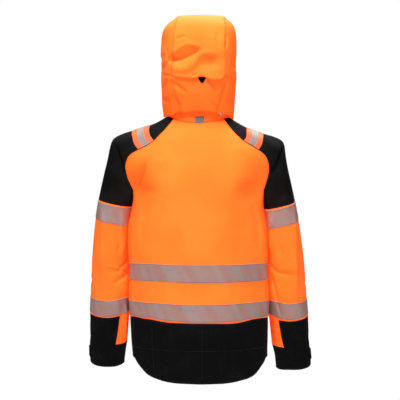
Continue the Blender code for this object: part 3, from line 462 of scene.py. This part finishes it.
def label_tape():
    """The neck tab: grey weave, with fine darker bars near its foot."""
    finish = Finish("label_tape", 0.5, 0.4)
    height = finish.part_of(finish.place, "Z")
    foot = 1 - (height - LABEL_FOOT).ramp(0, 7 * MM)
    bars = height.wave(2.2 * MM).ramp(0.4, 0.8)
    colour = finish.mix(finish.noise(0.003, 3.0) * 0.5, SILVER, TAPE_DARK)
    colour = finish.mix(foot * (0.25 + 0.6 * bars), colour, LABEL_VIOLET)
    return finish.wear(Base_Color=colour, Normal=finish.bump(bars * foot + finish.noise(0.001), 0.2 * MM))


def shoulder_tape():
    """Two orange strips with a grey one between, crossed by fine bars that are bolder at the tape's ends.

    Its cut map holds the share of the tape's width, and the distance to the nearer end.
    """
    finish = Finish("shoulder_tape", 0.5, 0.4, Emission_Strength=0.45)
    grey = (finish.across > 0.34) * (finish.across < 0.68)
    bars = finish.along.wave(6.4 * MM).ramp(0.5, 0.8) * (0.25 + 0.75 * (1 - finish.along.ramp(0.025, 0.06)))
    colour = finish.mix(bars, finish.mix(grey, TAPE_ORANGE, SILVER), finish.mix(grey, TAPE_RED, TAPE_DARK))
    # painted glow: the orange strips emit ORANGE_GLOW
    glow = finish.mix(grey, ORANGE_GLOW, TAPE_DARK)
    normal = finish.bump(finish.noise(BEAD) * 0.4 - bars, 0.15 * MM)
    return finish.wear(Base_Color=colour, Emission_Color=glow, Normal=normal)


def zip_tape():
    finish = Finish("zip_tape_weave", 0.7, 0.35)
    ribs = finish.along.wave(1.6 * MM)
    return finish.wear(Base_Color=finish.mix(ribs * 0.4, BLACK, BLACK_WORN), Normal=finish.bump(ribs, 0.3 * MM))


def gunmetal(name, colour, metallic=1.0):
    finish = Finish(name, Base_Color=(*colour, 1), Metallic=metallic)
    scuffs = finish.noise(0.0015, 4.0)
    return finish.wear(Roughness=0.28 + 0.3 * scuffs, Normal=finish.bump(scuffs, 0.04 * MM))


def eased(share):
    return share * share * (3 - 2 * share)


def lengths(vectors):
    return np.linalg.norm(vectors, axis=1)


def run_of(route):
    """How far along a route each of its places is."""
    return np.concatenate([[0], np.cumsum(lengths(np.diff(route, axis=0)))])


def nearest_on(route, points):
    """For each point: the nearest place on a line through the route, how far along that is, and the stretch's turn."""
    best = np.full(len(points), np.inf)
    spot, along, turn = np.zeros_like(points), np.zeros(len(points)), np.zeros_like(points)
    for start, end, before in zip(route[:-1], route[1:], run_of(route)):
        run = end - start
        length = np.linalg.norm(run)
        share = np.clip((points - start) @ run / length**2, 0, 1)
        there = start + share[:, None] * run
        gap = lengths(points - there)
        nearer = gap < best
        best[nearer], spot[nearer] = gap[nearer], there[nearer]
        along[nearer], turn[nearer] = before + share[nearer] * length, run / length
    return spot, along, turn


def heart_of(form):
    return np.array(HEARTS[form][0], float) * MM


def set_down(name, data):
    thing = bpy.data.objects.new(name, data)
    bpy.context.scene.collection.objects.link(thing)
    return thing


def mesh_of(shape, name):
    mesh = bpy.data.meshes.new(name)
    shape.to_mesh(mesh)
    return mesh


def shape_of(mesh):
    shape = bmesh.new()
    shape.from_mesh(mesh)
    return shape


def read(things, name, kind=np.int32, width=1):
    values = np.empty(len(things) * width, kind)
    things.foreach_get(name, values)
    return values


def places(mesh, kind="co"):
    return read(mesh.vertices, kind, np.float32, 3).reshape(-1, 3).astype(float)


def faces_of(mesh):
    return [face.vertices[:] for face in mesh.polygons]


def tree_on(mesh):
    return BVHTree.FromPolygons(places(mesh).tolist(), faces_of(mesh))


def settle(mesh, points):
    mesh.vertices.foreach_set("co", np.asarray(points, np.float32).ravel())
    mesh.update()


def solid_of(node):
    """A node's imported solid, with the corners that lie on each other joined."""
    solid = shape_of(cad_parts[node].data)
    bmesh.ops.remove_doubles(solid, verts=solid.verts, dist=SAME_CORNER * MM)
    return solid


def outer_side(node, form):
    """The faces of a closed wall that look away from the heart of its form, as a bmesh."""
    wall = solid_of(node)
    wall.normal_update()
    sides, seen = [], set()
    for first in wall.faces:
        if first in seen:
            continue
        side, waiting = [], [first]
        seen.add(first)
        while waiting:
            face = waiting.pop()
            side.append(face)
            for edge in face.edges:
                if math.degrees(edge.calc_face_angle(math.pi)) <= FOLD_ANGLE:
                    beyond = [other for other in edge.link_faces if other not in seen]
                    seen.update(beyond)
                    waiting += beyond
        sides.append(side)

    def facing_out(side):
        centres = np.array([face.calc_center_median() for face in side])
        outward = centres - nearest_on(heart_of(form), centres)[0]
        outward /= lengths(outward)[:, None]
        normals = np.array([face.normal * face.calc_area() for face in side])
        return (outward * normals).sum() / lengths(normals).sum()

    def is_rim(face):
        return 2 * face.calc_area() / max(edge.calc_length() for edge in face.edges) < RIM_DEPTH * MM

    outer = {face for side in sides if facing_out(side) > OUTWARD for face in side if not is_rim(face)}
    bmesh.ops.delete(wall, geom=[face for face in wall.faces if face not in outer], context="FACES")
    return wall


def join_flat(shape):
    bmesh.ops.join_triangles(
        shape, faces=shape.faces, cmp_materials=True, angle_face_threshold=FLAT_ENOUGH, angle_shape_threshold=math.pi
    )


def narrow_joints(joined, crease):
    """The edges that part a narrow row of faces beside a seam from the next row, or cut it up."""
    joints = []
    for face in joined.faces:
        edges = list(face.edges)
        free = [edge for edge in edges if not edge[crease] and not edge.is_boundary]
        if len(edges) == 3 and 0 < len(free) < 3:
            if 2 * face.calc_area() < NARROW_ROW * MM * max(edge.calc_length() for edge in edges):
                joints.append(max(free, key=lambda edge: edge.calc_length()))
        for number, edge in enumerate(edges):
            beside = (edges[number - 1], edges[(number + 1) % len(edges)])
            opposite = edges[(number + 2) % len(edges)]
            if len(edges) == 4 and edge[crease] and opposite in free:
                if max(other.calc_length() for other in beside) < NARROW_ROW * MM:
                    joints.append(opposite)
    return list(dict.fromkeys(joints))


def one_skin(panels):
    """The outer sides joined. A face's material index is its panel's number."""
    joined = bmesh.new()
    crease = joined.edges.layers.float.new("crease_edge")
    corner = joined.verts.layers.float.new("crease_vert")
    for number, (node, form, *_) in enumerate(panels):
        side = outer_side(node, form)
        for face in side.faces:
            face.material_index = number
        mesh = mesh_of(side, node)
        joined.from_mesh(mesh)
        bpy.data.meshes.remove(mesh)
    bmesh.ops.remove_doubles(joined, verts=joined.verts, dist=SEAM_REACH * MM)
    join_flat(joined)
    for edge in joined.edges:
        if len({face.material_index for face in edge.link_faces}) > 1:
            edge[crease] = 1.0
    for _ in range(2):
        bmesh.ops.dissolve_edges(joined, edges=narrow_joints(joined, crease), use_verts=True, use_face_split=False)
    for vert in joined.verts:
        seams = [(edge.other_vert(vert).co - vert.co).normalized() for edge in vert.link_edges if edge[crease]]
        if len(seams) == 2 and seams[0].dot(seams[1]) > SEAM_CORNER:
            vert[corner] = 1.0
    return joined


def evaluated(thing):
    bpy.context.view_layer.update()
    return bpy.data.meshes.new_from_object(thing.evaluated_get(bpy.context.evaluated_depsgraph_get()))


def refined(skin, levels, boundary="ALL"):
    """The skin subdivided, so that it still passes through its own corners."""
    mesh = mesh_of(skin, "skin")
    thing = set_down("skin", mesh)
    step = thing.modifiers.new("fine", "SUBSURF")
    step.boundary_smooth = boundary
    step.levels = step.render_levels = 1
    goal = places(mesh)
    control = goal.copy()
    for _ in range(CORRECTIONS):
        control += goal - places(evaluated(thing))[: len(goal)]
        settle(mesh, control)
    step.levels = step.render_levels = levels
    fine = evaluated(thing)
    bpy.data.objects.remove(thing)
    return fine


def smooth_line(line, steps):
    """Points through the places of a drawn line, rounded between them."""
    points = [Vector([float(number) for number in place.split(",")]) for place in line.split()]
    points = [2 * points[0] - points[1], *points, 2 * points[-1] - points[-2]]
    rounded = []
    for a, b, c, d in zip(points, points[1:], points[2:], points[3:]):
        for t in (i / steps for i in range(steps)):
            bend = (2 * a - 5 * b + 4 * c - d) * t**2
            rounded.append(0.5 * (2 * b + (c - a) * t + bend + (3 * b - a - 3 * c + d) * t**3))
    return [*rounded, points[-2]]


def seen_on(tree, view, place):
    """The point of the cloth seen at a place of a view, and its normal."""
    across, down = place
    turn = Euler((0, 0, math.radians(VIEWS[view])))
    eye = Vector((0, -VIEW_DISTANCE, VIEW_HEIGHT)) * MM
    ray = Vector(((across - VIEW_MIDDLE) * VIEW_STEP, VIEW_DISTANCE, (VIEW_MIDDLE - down) * VIEW_STEP)) * MM
    eye.rotate(turn)
    ray.rotate(turn)
    return tree.ray_cast(eye, ray.normalized())[:2]


def drawn_on(tree, view, line, steps):
    """The cloth's points under a drawn line, and its normals there."""
    spots = (seen_on(tree, view, place) for place in smooth_line(line, steps))
    spots = np.array([(*point, *normal) for point, normal in spots if point is not None])
    return spots[:, :3], spots[:, 3:]


def finder(spots):
    tree = KDTree(len(spots))
    for number, spot in enumerate(spots):
        tree.insert(spot, number)
    tree.balance()
    return tree


def distance_to(spots, points):
    """From each point to the nearest of the spots."""
    tree = finder(spots)
    return np.array([tree.find(point)[2] for point in points])


def open_edges(faces):
    """The edges that only one face has, as pairs of corner numbers in the face's own order."""
    edges = np.stack([faces, np.roll(faces, -1, axis=1)], axis=2).reshape(-1, 2)
    _, first, count = np.unique(np.sort(edges, axis=1), axis=0, return_index=True, return_counts=True)
    return edges[first[count == 1]]


def swelled(points, takes_part):
    """The points moved by each of the swells whose pieces they belong to."""
    for names, centre, reach, move in SWELLS:
        far = lengths((points - np.array(centre) * MM) / (np.array(reach) * MM))
        share = takes_part(names) * (1 - np.clip(far, 0, 1) ** 2) ** 2
        points = points + share[:, None] * np.array(move) * MM
    return points


class Cloth:
    """A fine joined skin, as arrays, swelled and folded."""

    def __init__(self, panels):
        self.panels = panels
        self.names = [node for node, *_ in panels]
        self.mesh = refined(one_skin(panels), LEVELS)
        self.points = places(self.mesh)
        self.quads = np.array(faces_of(self.mesh))
        self.panel = read(self.mesh.polygons, "material_index")
        self.points = swelled(self.points, self.corners_of)
        self.look()
        self.fold()

    def look(self):
        """Sets the points down, and reads the normals and the tree anew."""
        settle(self.mesh, self.points)
        self.normals = places(self.mesh, "normal")
        self.tree = self.tree_of(self.names)

    def quads_of(self, names):
        return np.isin(self.panel, [number for number, node in enumerate(self.names) if node in names])

    def tree_of(self, names):
        return BVHTree.FromPolygons(self.points.tolist(), self.quads[self.quads_of(names)].tolist())

    def corners_of(self, names):
        """Marks the corners of the named panels, given in one text."""
        marked = np.zeros(len(self.points), bool)
        marked[self.quads[self.quads_of(names.split())]] = True
        return marked

    def borders(self):
        """Marks the corners on the open borders and where two panels meet."""
        marked = sum(self.corners_of(name).astype(int) for name in self.names) > 1
        marked[open_edges(self.quads)] = True
        return marked

    def crease(self, view, names, line, left, right, height, sharp=False):
        """Presses one fold in, or lifts it."""
        route, outs = drawn_on(self.tree, view, line, 7)
        out = outs.mean(axis=0)
        reach = max(left, right) * MM
        near = self.corners_of(names)
        near &= (self.points > route.min(axis=0) - reach).all(axis=1)
        near &= (self.points < route.max(axis=0) + reach).all(axis=1)
        there, along, turn = nearest_on(route, self.points[near])
        gap = self.points[near] - there
        on_left = (np.cross(out, turn) * gap).sum(axis=1) > 0
        share = np.clip(lengths(gap) / (np.where(on_left, left, right) * MM), 0, 1)
        length = run_of(route)[-1]
        ends = np.clip(np.minimum(along, length - along) / (FADE * length), 0, 1)
        form = (1 - share) ** 2 if sharp else (1 - share**2) ** 2
        self.moved[near] += self.normals[near] * (height * MM * form * eased(ends))[:, None]

    def fold(self):
        """Creases the skin, and adds a fine uneven waviness that is strongest beside the seams."""
        self.moved = np.zeros_like(self.points)
        for view, pieces, rows in FOLDS:
            if set(self.names) & set(pieces.split()):
                for row in rows:
                    self.crease(view, pieces, *row)
        near_seam = distance_to(self.points[self.borders()], self.points) / (PUCKER_REACH * MM)
        waves = np.array([
            [height * noise.noise(Vector(point) * each + WAVE_PLACE) for height, each in WAVES]
            for point in self.points
        ])
        waves[:, -1] *= (1 - np.clip(near_seam, 0, 1)) ** 2
        self.moved += self.normals * waves.sum(axis=1)[:, None] * MM
        self.points = self.points + self.moved
        self.look()

    def piece(self, number, points):
        """A panel as a mesh of its own, cut from the given points."""
        used, corners = np.unique(self.quads[self.panel == number], return_inverse=True)
        made = bpy.data.meshes.new("piece")
        made.from_pydata(points[used].tolist(), [], corners.reshape(-1, 4).tolist())
        return made


def around(form, angles):
    """Distance round an oval section up to each angle, in metres."""
    width, depth = HEARTS[form][1]
    turns = np.linspace(0, math.tau, OVAL_STEPS + 1)
    radius = width * depth / np.hypot(depth * np.cos(turns), width * np.sin(turns))
    run = run_of(np.stack([radius * np.cos(turns), radius * np.sin(turns)], axis=1)) * MM
    whole, part = np.divmod(angles, math.tau)
    return whole * run[-1] + np.interp(part, turns, run)


def map_cut(mesh, flat):
    layer = mesh.uv_layers.new(name="cut")
    layer.data.foreach_set("uv", flat.astype(np.float32).ravel())


def loops_of(mesh):
    """Each loop's corner number, and the first loop of its face."""
    starts, totals = (read(mesh.polygons, name) for name in ("loop_start", "loop_total"))
    return read(mesh.loops, "vertex_index"), np.repeat(starts, totals)


def lay_flat(mesh, form):
    """UV map "cut": distance across and along the cloth, in metres."""
    points = places(mesh)
    corners, firsts = loops_of(mesh)
    if form == "temple":
        return map_cut(mesh, points[corners, 1:])
    spots, along, turn = nearest_on(heart_of(form), points)
    across = np.array((1, 0, 0)) if form != "hood" else np.array((0, 1, 0))
    first = across - turn * (turn @ across)[:, None]
    first /= lengths(first)[:, None]
    second = np.cross(turn, first)
    out = points - spots
    angle = np.arctan2((out * second).sum(axis=1), (out * first).sum(axis=1))[corners]
    start = angle[firsts]
    angle = start + (angle - start + math.pi) % math.tau - math.pi
    map_cut(mesh, np.stack([around(form, angle), along[corners]], axis=1))


def lay_strip(mesh, form):
    """UV map "cut" of a tape: share of its width, and distance in metres to the nearer of its ends."""
    points = places(mesh)
    _, _, heading = nearest_on(heart_of(form), points)
    borders = {"inner": [], "outer": [], "end": []}
    cloth = shape_of(mesh)
    for edge in cloth.edges:
        if edge.is_boundary:
            start, end = edge.verts
            middle = (start.co + end.co) / 2
            ahead = Vector(heading[start.index])
            inward = (edge.link_faces[0].calc_center_median() - middle).dot(ahead)
            endways = abs((end.co - start.co).normalized().dot(ahead)) > ENDWAYS
            borders["end" if endways else "inner" if inward > 0 else "outer"].append(middle)
    inner, outer, end = (distance_to(border, points) for border in borders.values())
    map_cut(mesh, np.stack([inner / (inner + outer), end], axis=1)[loops_of(mesh)[0]])


def mark_seams(mesh, distances):
    """Attribute "seam": each corner's distance to the piece's border."""
    layer = mesh.attributes.new("seam", "FLOAT", "POINT")
    layer.data.foreach_set("value", distances.astype(np.float32))


def roll_border(mesh, width, drop):
    """Rounds a piece's border down into its seam."""
    cloth = shape_of(mesh)
    bmesh.ops.inset_region(cloth, faces=cloth.faces, thickness=width * MM, use_boundary=True, use_even_offset=True)
    cloth.normal_update()
    for corner in cloth.verts:
        if corner.is_boundary:
            corner.co -= corner.normal * drop * MM
    cloth.to_mesh(mesh)


def hang(name, mesh, finish, node=None, inside=None):
    mesh.materials.clear()
    for each in (finish, inside):
        if each:
            mesh.materials.append(FINISHES[each])
    mesh.polygons.foreach_set("use_smooth", [True] * len(mesh.polygons))
    mesh.polygons.foreach_set("material_index", [0] * len(mesh.polygons))
    thing = set_down(name, mesh)
    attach(thing, "jacket")
    if node:
        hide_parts(node)
    return thing


def wall(thing, thickness, inside=False):
    step = thing.modifiers.new("wall", "SOLIDIFY")
    step.thickness = thickness * MM
    step.offset = -1
    step.material_offset = int(inside)


# Hood pleat: the crown's lower edge laps over the nape, along a line seen from behind
PLEAT = "160,75 172,75.5 180,76.5 190,77.8 195,78.2 198.2,76.9 201.5,76.2 204.8,76.8 208,78.2 214,79.4 224,78.6 238,74"
PLEAT_STEP = 2.774  # mm for each 400th there
LAP_REACH = (30.0, 26.0)  # how far above and below the line the cloth gives way
LAP_OUT = (3.6, -2.4)
LAP_UNDER = 11.0  # how far the nape reaches up beneath the crown
LAP_SIDE = 12.0  # it fades out this far from the side seams


def lap_pleat(cloth):
    """Moves the crown's and the nape's own copies of the joined skin's points so that one laps over the other."""
    joint = cloth.points[cloth.corners_of("hood_crown") & cloth.corners_of("hood_nape")]
    joint = joint[np.argsort(joint[:, 0])] / MM
    line = (np.array(smooth_line(PLEAT, 6)) - VIEW_MIDDLE) * -PLEAT_STEP + (0, VIEW_HEIGHT)
    line = line[np.argsort(line[:, 0])]
    sideways = cloth.points[:, 0] / MM
    seam = np.interp(sideways, joint[:, 0], joint[:, 2])
    height = cloth.points[:, 2] / MM - seam
    goal = np.interp(sideways, *line.T) - seam
    inside = eased(np.clip(np.minimum(sideways - joint[0, 0], joint[-1, 0] - sideways) / LAP_SIDE, 0, 1))
    moved = {}
    for node, reach, out, drop in zip(("hood_crown", "hood_nape"), LAP_REACH, LAP_OUT, (goal, LAP_UNDER)):
        share = inside * (1 - np.clip(abs(height) / reach, 0, 1)) ** 2
        move = cloth.normals * (out * share**2)[:, None]
        move[:, 2] += drop * share
        moved[node] = cloth.points + move * MM
    return moved


STITCH = (2.3, 0.42, 5)  # length, radius in mm, sides
STITCH_PITCH = 3.3
STITCH_LIFT = 0.12
STITCH_AIM = 2.0  # a stitch points at the place this far on
STITCH_CLEAR = 0.86  # stitches nearer to a border than this share of their inset are left out


def repeated(shape, turns):
    """One mesh of a small shape set down at each of the 4 by 4 places."""
    template = mesh_of(shape, "one")
    points = places(template)
    faces = faces_of(template)
    turns = np.array(turns)
    spots = np.einsum("tij,pj->tpi", turns[:, :3, :3], points) + turns[:, None, :3, 3]
    every = [tuple(c + number * len(points) for c in face) for number in range(len(turns)) for face in faces]
    made = bpy.data.meshes.new("repeated")
    made.from_pydata(spots.reshape(-1, 3).tolist(), [], every)
    return made


def stitch_shape():
    length, radius, sides = STITCH
    shape = bmesh.new()
    bmesh.ops.create_cone(
        shape, cap_ends=True, segments=sides, radius1=radius * MM, radius2=radius * MM, depth=length * MM,
        matrix=Matrix.Rotation(math.radians(90), 4, "X"),
    )
    return shape


def turn_of(spot, along, out):
    """The 4 by 4 place whose Y runs along and whose Z looks out."""
    along = Vector(along).normalized()
    out = Vector(out)
    across = along.cross(out).normalized()
    out = across.cross(along)
    return Matrix((across, along, out)).transposed().to_4x4() + Matrix.Translation(spot) - Matrix.Identity(4)


def paced(route, start):
    """Places for stitches along a route, each with the way on from there."""
    run = run_of(route)
    at = np.arange(start, run[-1] / MM, STITCH_PITCH) * MM
    here, ahead = (np.stack([np.interp(at + step, run, axis) for axis in route.T], axis=1)
                   for step in (0, STITCH_AIM * MM))
    return [(Vector(spot), Vector(way)) for spot, way in zip(here, ahead - here)]


def stitch_at(spot, normal, along):
    return turn_of(spot + normal * STITCH_LIFT * MM, along, normal)


def stitch_border(mesh, inset):
    """Places for stitches along a piece's border, inset from it."""
    points = places(mesh)
    edges = open_edges(faces_of(mesh))
    tree, border = tree_on(mesh), finder(points[edges[:, 0]])
    follow = dict(edges.tolist())
    turns = []
    while follow:
        ring = [*follow.popitem()]
        while ring[-1] in follow:
            ring.append(follow.pop(ring[-1]))
        for spot, along in paced(points[ring], STITCH_PITCH / 2):
            inward = tree.find_nearest(spot)[1].cross(along).normalized()
            there, normal, *_ = tree.find_nearest(spot + inward * inset * MM)
            if border.find(there)[2] > STITCH_CLEAR * inset * MM:
                turns.append(stitch_at(there, normal, along))
    return turns


def stitch_line(tree, view, line):
    """Places for stitches along a line of a view."""
    route, _ = drawn_on(tree, view, line, 12)
    return [stitch_at(*tree.find_nearest(spot)[:2], along) for spot, along in paced(route, 0)]


PANEL_INSET = 4.0
TAPE_INSET = 2.2


def dress(cloth, bands, laps):
    """Cuts the maker's pieces from a finished skin, and finishes each one and the bands on it."""
    for number, (node, form, finish, thickness, wide, long, share, _) in enumerate(cloth.panels):
        mesh = cloth.piece(number, laps.get(node, cloth.points))
        if finish in THREADS:
            stitches[THREADS[finish]] += stitch_border(mesh, PANEL_INSET)
        roll_border(mesh, *BORDER_ROLL)
        lay_flat(mesh, form)
        points = places(mesh)
        mark_seams(mesh, distance_to(points[np.unique(open_edges(faces_of(mesh)))], points))
        coated = finish == "orange"
        made = hang(f"{node}_cloth", mesh, finish, node, "coated" if coated else None)
        wall(made, thickness - WALL_PLAY, coated)
    for node, form, finish, thickness, wide, long, share, _ in bands:
        side = outer_side(node, form)
        join_flat(side)
        mesh = refined(side, LEVELS + 1, "PRESERVE_CORNERS")
        over_seam = finish == "shoulder_tape"
        tree = cloth.tree_of([name for name, wrapped, *_ in cloth.panels if wrapped == form or over_seam])
        laid = []
        for corner, out in zip(swelled(places(mesh), lambda names: node in names.split()), places(mesh, "normal")):
            corner, out = Vector(corner), Vector(out)
            spot = tree.ray_cast(corner + out * TAPE_DROP * MM, -out, 2 * TAPE_DROP * MM)[0]
            laid.append(spot + out * TAPE_LIFT * MM)
        settle(mesh, laid)
        stitches[THREADS[finish]] += stitch_border(mesh, TAPE_INSET)
        roll_border(mesh, *TAPE_ROLL)
        (lay_strip if over_seam else lay_flat)(mesh, form)
        made = hang(f"{node}_tape", mesh, finish, node)
        wall(made, thickness)


# Small sewn-on tabs: node, form, finish, radius of their worn edges, spread across, and move in mm
TABS = (
    ("neck_tab", "torso", "label", 0.3, 1.15, (-3, 0.3, 0)),
    ("hood_adjuster", "hood", "black", 0.6, 1.22, (4.2, 0.4, 3.0)),
    ("cuff_tab_left", "arm_left", "black", 0.7, 1.0, (0.4, 0, 0)),
    ("cuff_tab_right", "arm_right", "black", 0.7, 1.0, (-0.4, 0, 0)),
)
TAB_INSET = 2.4
TAB_SEAM = 0.01  # a tab's finish is that of cloth this far from a seam
HEM_ROWS = (
    ("back", "133,347 165,350.5 200,351.5 235,350.5 267,347"),
    ("back", "152,326 152.5,348 154,372"),
    ("back", "202,328 202,352 202,380"),
    ("front", "143,336 170,339 197,340"),
    ("front", "206,340 232,339 259,336"),
)


def soften(shape, edges, radius, segments):
    bmesh.ops.bevel(
        shape, geom=edges, offset=radius * MM, offset_type="OFFSET", segments=segments, profile=0.5, affect="EDGES",
        material=-1,
    )


def finish_tab(node, form, finish, radius, spread, move):
    """A tab with softened edges and a row of stitches, in its node's place."""
    low, high = (Vector(corner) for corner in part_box(node))
    middle = Matrix.Translation((low + high) / 2)
    place = Matrix.Translation(Vector(move) * MM) @ middle @ Matrix.Diagonal((spread, 1, 1, 1)) @ middle.inverted()
    face, tab = outer_side(node, form), solid_of(node)
    for shape in (face, tab):
        bmesh.ops.transform(shape, matrix=place, verts=shape.verts)
    stitches[THREADS[finish]] += stitch_border(mesh_of(face, "face"), TAB_INSET)
    bmesh.ops.dissolve_limit(tab, angle_limit=math.radians(1), verts=tab.verts, edges=tab.edges)
    soften(tab, [edge for edge in tab.edges if math.degrees(edge.calc_face_angle(0)) > FOLD_ANGLE], radius, 2)
    mesh = mesh_of(tab, node)
    lay_flat(mesh, form)
    mark_seams(mesh, np.full(len(mesh.vertices), TAB_SEAM))
    hang(f"{node}_sewn", mesh, finish, node)


TOOTH = (3.0, 1.15, 1.1)  # across, along, high
TOOTH_PITCH = 2.6
TOOTH_ASIDE = 0.75
TOOTH_SUNK = 0.4  # share of its height at which a tooth's middle stands over the tape
TOOTH_BEVEL = 0.25
ROUTE_REACH = 5  # the tapes' middle is read over this far up and down, and smoothed over 9 places
SLIDER_CLEAR = (1, 40)  # no teeth from this far below the slider to this far above it


def zip_teeth(cloth):
    """Two columns of teeth that meet down the middle of the closed tapes, clear of the slider."""
    low, high = (corner[2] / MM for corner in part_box("zip_slider"))
    tape = cloth.points[cloth.corners_of("zip")] / MM
    route = []
    for height in np.arange(tape[:, 2].min() + 4, tape[:, 2].max() - 3, TOOTH_PITCH / 2):
        near = tape[abs(tape[:, 2] - height) < ROUTE_REACH]
        route.append(((near[:, 0].min() + near[:, 0].max()) / 2, near[:, 1].min(), height))
    route = np.array(route)
    for axis in (0, 1):
        route[:, axis] = np.convolve(np.pad(route[:, axis], 4, "edge"), np.ones(9) / 9, "valid")
    shape = bmesh.new()
    bmesh.ops.create_cube(shape, size=1, matrix=Matrix.Diagonal((*(size * MM for size in TOOTH), 1)))
    soften(shape, [edge for edge in shape.edges if all(vert.co.z > 0 for vert in edge.verts)], TOOTH_BEVEL, 1)
    turns = []
    for number in range(1, len(route) - 1):
        if not low - SLIDER_CLEAR[0] < route[number, 2] < high + SLIDER_CLEAR[1]:
            ahead = Vector(route[number - 1] - route[number + 1])
            out = Vector((1, 0, 0)).cross(ahead).normalized()
            aside = Vector((TOOTH_ASIDE * (-1) ** number, 0, 0))
            turns.append(turn_of((Vector(route[number]) + aside + out * TOOTH_SUNK * TOOTH[2]) * MM, ahead, out))
    hang("zip_teeth", repeated(shape, turns), "teeth")


STUD_PLACE = (221.4, 113.2)  # in the view from behind
STUD = (4.6, 1.5)  # radius, height
STUD_RIM = (1.2, 1.1, 0.9)  # share of the radius below and above, height
STUD_LIFT = 0.3


def stud_shape(cloth):
    """A domed press stud on the hood's lower edge."""
    spot, normal = seen_on(cloth.tree, "back", STUD_PLACE)
    radius, height = STUD
    below, above, rim = STUD_RIM
    shape = bmesh.new()
    dome = Matrix.Diagonal((radius, radius, height, 1))
    bmesh.ops.create_uvsphere(shape, u_segments=24, v_segments=12, radius=MM, matrix=dome)
    bmesh.ops.create_cone(
        shape, cap_ends=True, segments=24, radius1=below * radius * MM, radius2=above * radius * MM, depth=rim * MM
    )
    bmesh.ops.transform(shape, matrix=turn_of(spot + normal * STUD_LIFT * MM, (0, 0, 1), normal), verts=shape.verts)
    return mesh_of(shape, "stud")


AMBIENT = 0.12
LAMP_AIM = Vector((0, 0, -0.2))
LAMPS = (
    # name, place, size, power
    ("key", (0.35, 1.8, 3.05), 1.8, 172),
    ("fill", (-0.5, 3.4, -0.2), 1.6, 14),
    ("front_key", (-0.35, -1.8, 3.05), 1.8, 172),
    ("front_fill", (0.5, -3.4, -0.2), 1.6, 14),
    ("left_side", (3.4, 0, 0.9), 1.2, 5),
    ("right_side", (-3.4, 0, 0.9), 1.2, 5),
)
FLOOR = (2.8, -1.45)  # radius, height


def studio():
    scene = bpy.context.scene
    scene.view_settings.view_transform = "Standard"
    scene.world = world = bpy.data.worlds.new("studio")
    world.use_nodes = True
    tree = world.node_tree
    sky = tree.nodes["Background"]
    sky.inputs["Color"].default_value = (1, 1, 1, 1)
    strength = tree.nodes.new("ShaderNodeMix")
    strength.inputs["A"].default_value = AMBIENT
    strength.inputs["B"].default_value = 1.0
    tree.links.new(tree.nodes.new("ShaderNodeLightPath").outputs["Is Camera Ray"], strength.inputs["Factor"])
    tree.links.new(strength.outputs["Result"], sky.inputs["Strength"])
    for name, spot, size, power in LAMPS:
        lamp = bpy.data.lights.new(name, "AREA")
        lamp.shape = "DISK"
        lamp.size = size
        lamp.energy = power
        thing = set_down(name, lamp)
        thing.location = spot
        thing.rotation_euler = (LAMP_AIM - Vector(spot)).to_track_quat("-Z", "Y").to_euler()
    floor = bmesh.new()
    radius, height = FLOOR
    bmesh.ops.create_circle(floor, cap_ends=True, segments=128, radius=radius)
    bmesh.ops.translate(floor, verts=floor.verts, vec=(0, 0, height))
    mesh = mesh_of(floor, "studio_floor")
    paint = Finish("pale_floor", 0.7, Base_Color=(0.8, 0.8, 0.79, 1))
    mesh.materials.append(paint.wear(Normal=paint.bump(paint.noise(0.004, 3.0), 0.2 * MM)))
    set_down("studio_floor", mesh)
    lens = bpy.data.cameras.new("camera")
    lens.sensor_width = 36
    lens.lens = lens.sensor_width * VIEW_DISTANCE / (2 * VIEW_MIDDLE * VIEW_STEP)
    camera = scene.camera = set_down("camera", lens)
    camera.location = (0, VIEW_DISTANCE * MM, VIEW_HEIGHT * MM)
    camera.rotation_euler = (math.radians(90), 0, math.radians(180))


# Each finish: its material, the slot that it fills, and the thread that it is sewn with
ROWS = (
    ("orange", orange_cloth(), "orange_cloth", "orange_thread"),
    ("coated", coated_side(), "orange_cloth", None),
    ("black", black_cloth("black_twill", BLACK_WORN), "black_cloth", "black_thread"),
    # the shoulders' black is a lighter copy: partly faded cloth, partly painted top light
    ("shoulder_black", black_cloth("black_shoulder_twill_lit", SHOULDER_WORN_AND_LIT, 0.55), "black_cloth", "black_thread"),
    ("tape", reflective_tape(), "reflective_tape", "grey_thread"),
    ("shoulder_tape", shoulder_tape(), "reflective_tape", "grey_thread"),
    ("label", label_tape(), "reflective_tape", "grey_thread"),
    ("zip_tape", zip_tape(), "zip_tape", None),
    ("metal", gunmetal("gunmetal", (0.16, 0.16, 0.17)), "dark_metal", None),
    ("stud_metal", gunmetal("stud_nickel", (0.62, 0.6, 0.6)), "dark_metal", None),
    ("teeth", gunmetal("zip_teeth", (0.05, 0.05, 0.055), 0.0), "dark_metal", None),
    ("orange_thread", thread("orange_thread", (0.95, 0.26, 0.03), 0.5), "orange_cloth", None),
    ("black_thread", thread("black_thread", (0.012, 0.012, 0.013)), "black_cloth", None),
    ("grey_thread", thread("grey_thread", (0.34, 0.28, 0.26)), "reflective_tape", None),
)
FINISHES, SLOTS, THREADS = ({name: row[column] for name, *row in ROWS if row[column]} for column in range(3))
stitches = {thread: [] for thread in THREADS.values()}
studio()
body = Cloth([row for row in PANELS if not row[0].startswith("hood")])
dress(body, BANDS, {})
hood = Cloth([row for row in PANELS if row[0].startswith("hood")])
dress(hood, (), lap_pleat(hood))
for row in TABS:
    finish_tab(*row)
hems = body.tree_of([name for name in body.names if "hem" in name])
for view, line in HEM_ROWS:
    stitches["black_thread"] += stitch_line(hems, view, line)
for name, turns in stitches.items():
    hang(name.replace("thread", "topstitching"), repeated(stitch_shape(), turns), name)
zip_teeth(body)
hang("nape_stud", stud_shape(hood), "stud_metal")
for node in ("zip_slider", "zip_pull"):
    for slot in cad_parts[node].material_slots:
        slot.material = FINISHES["metal"]
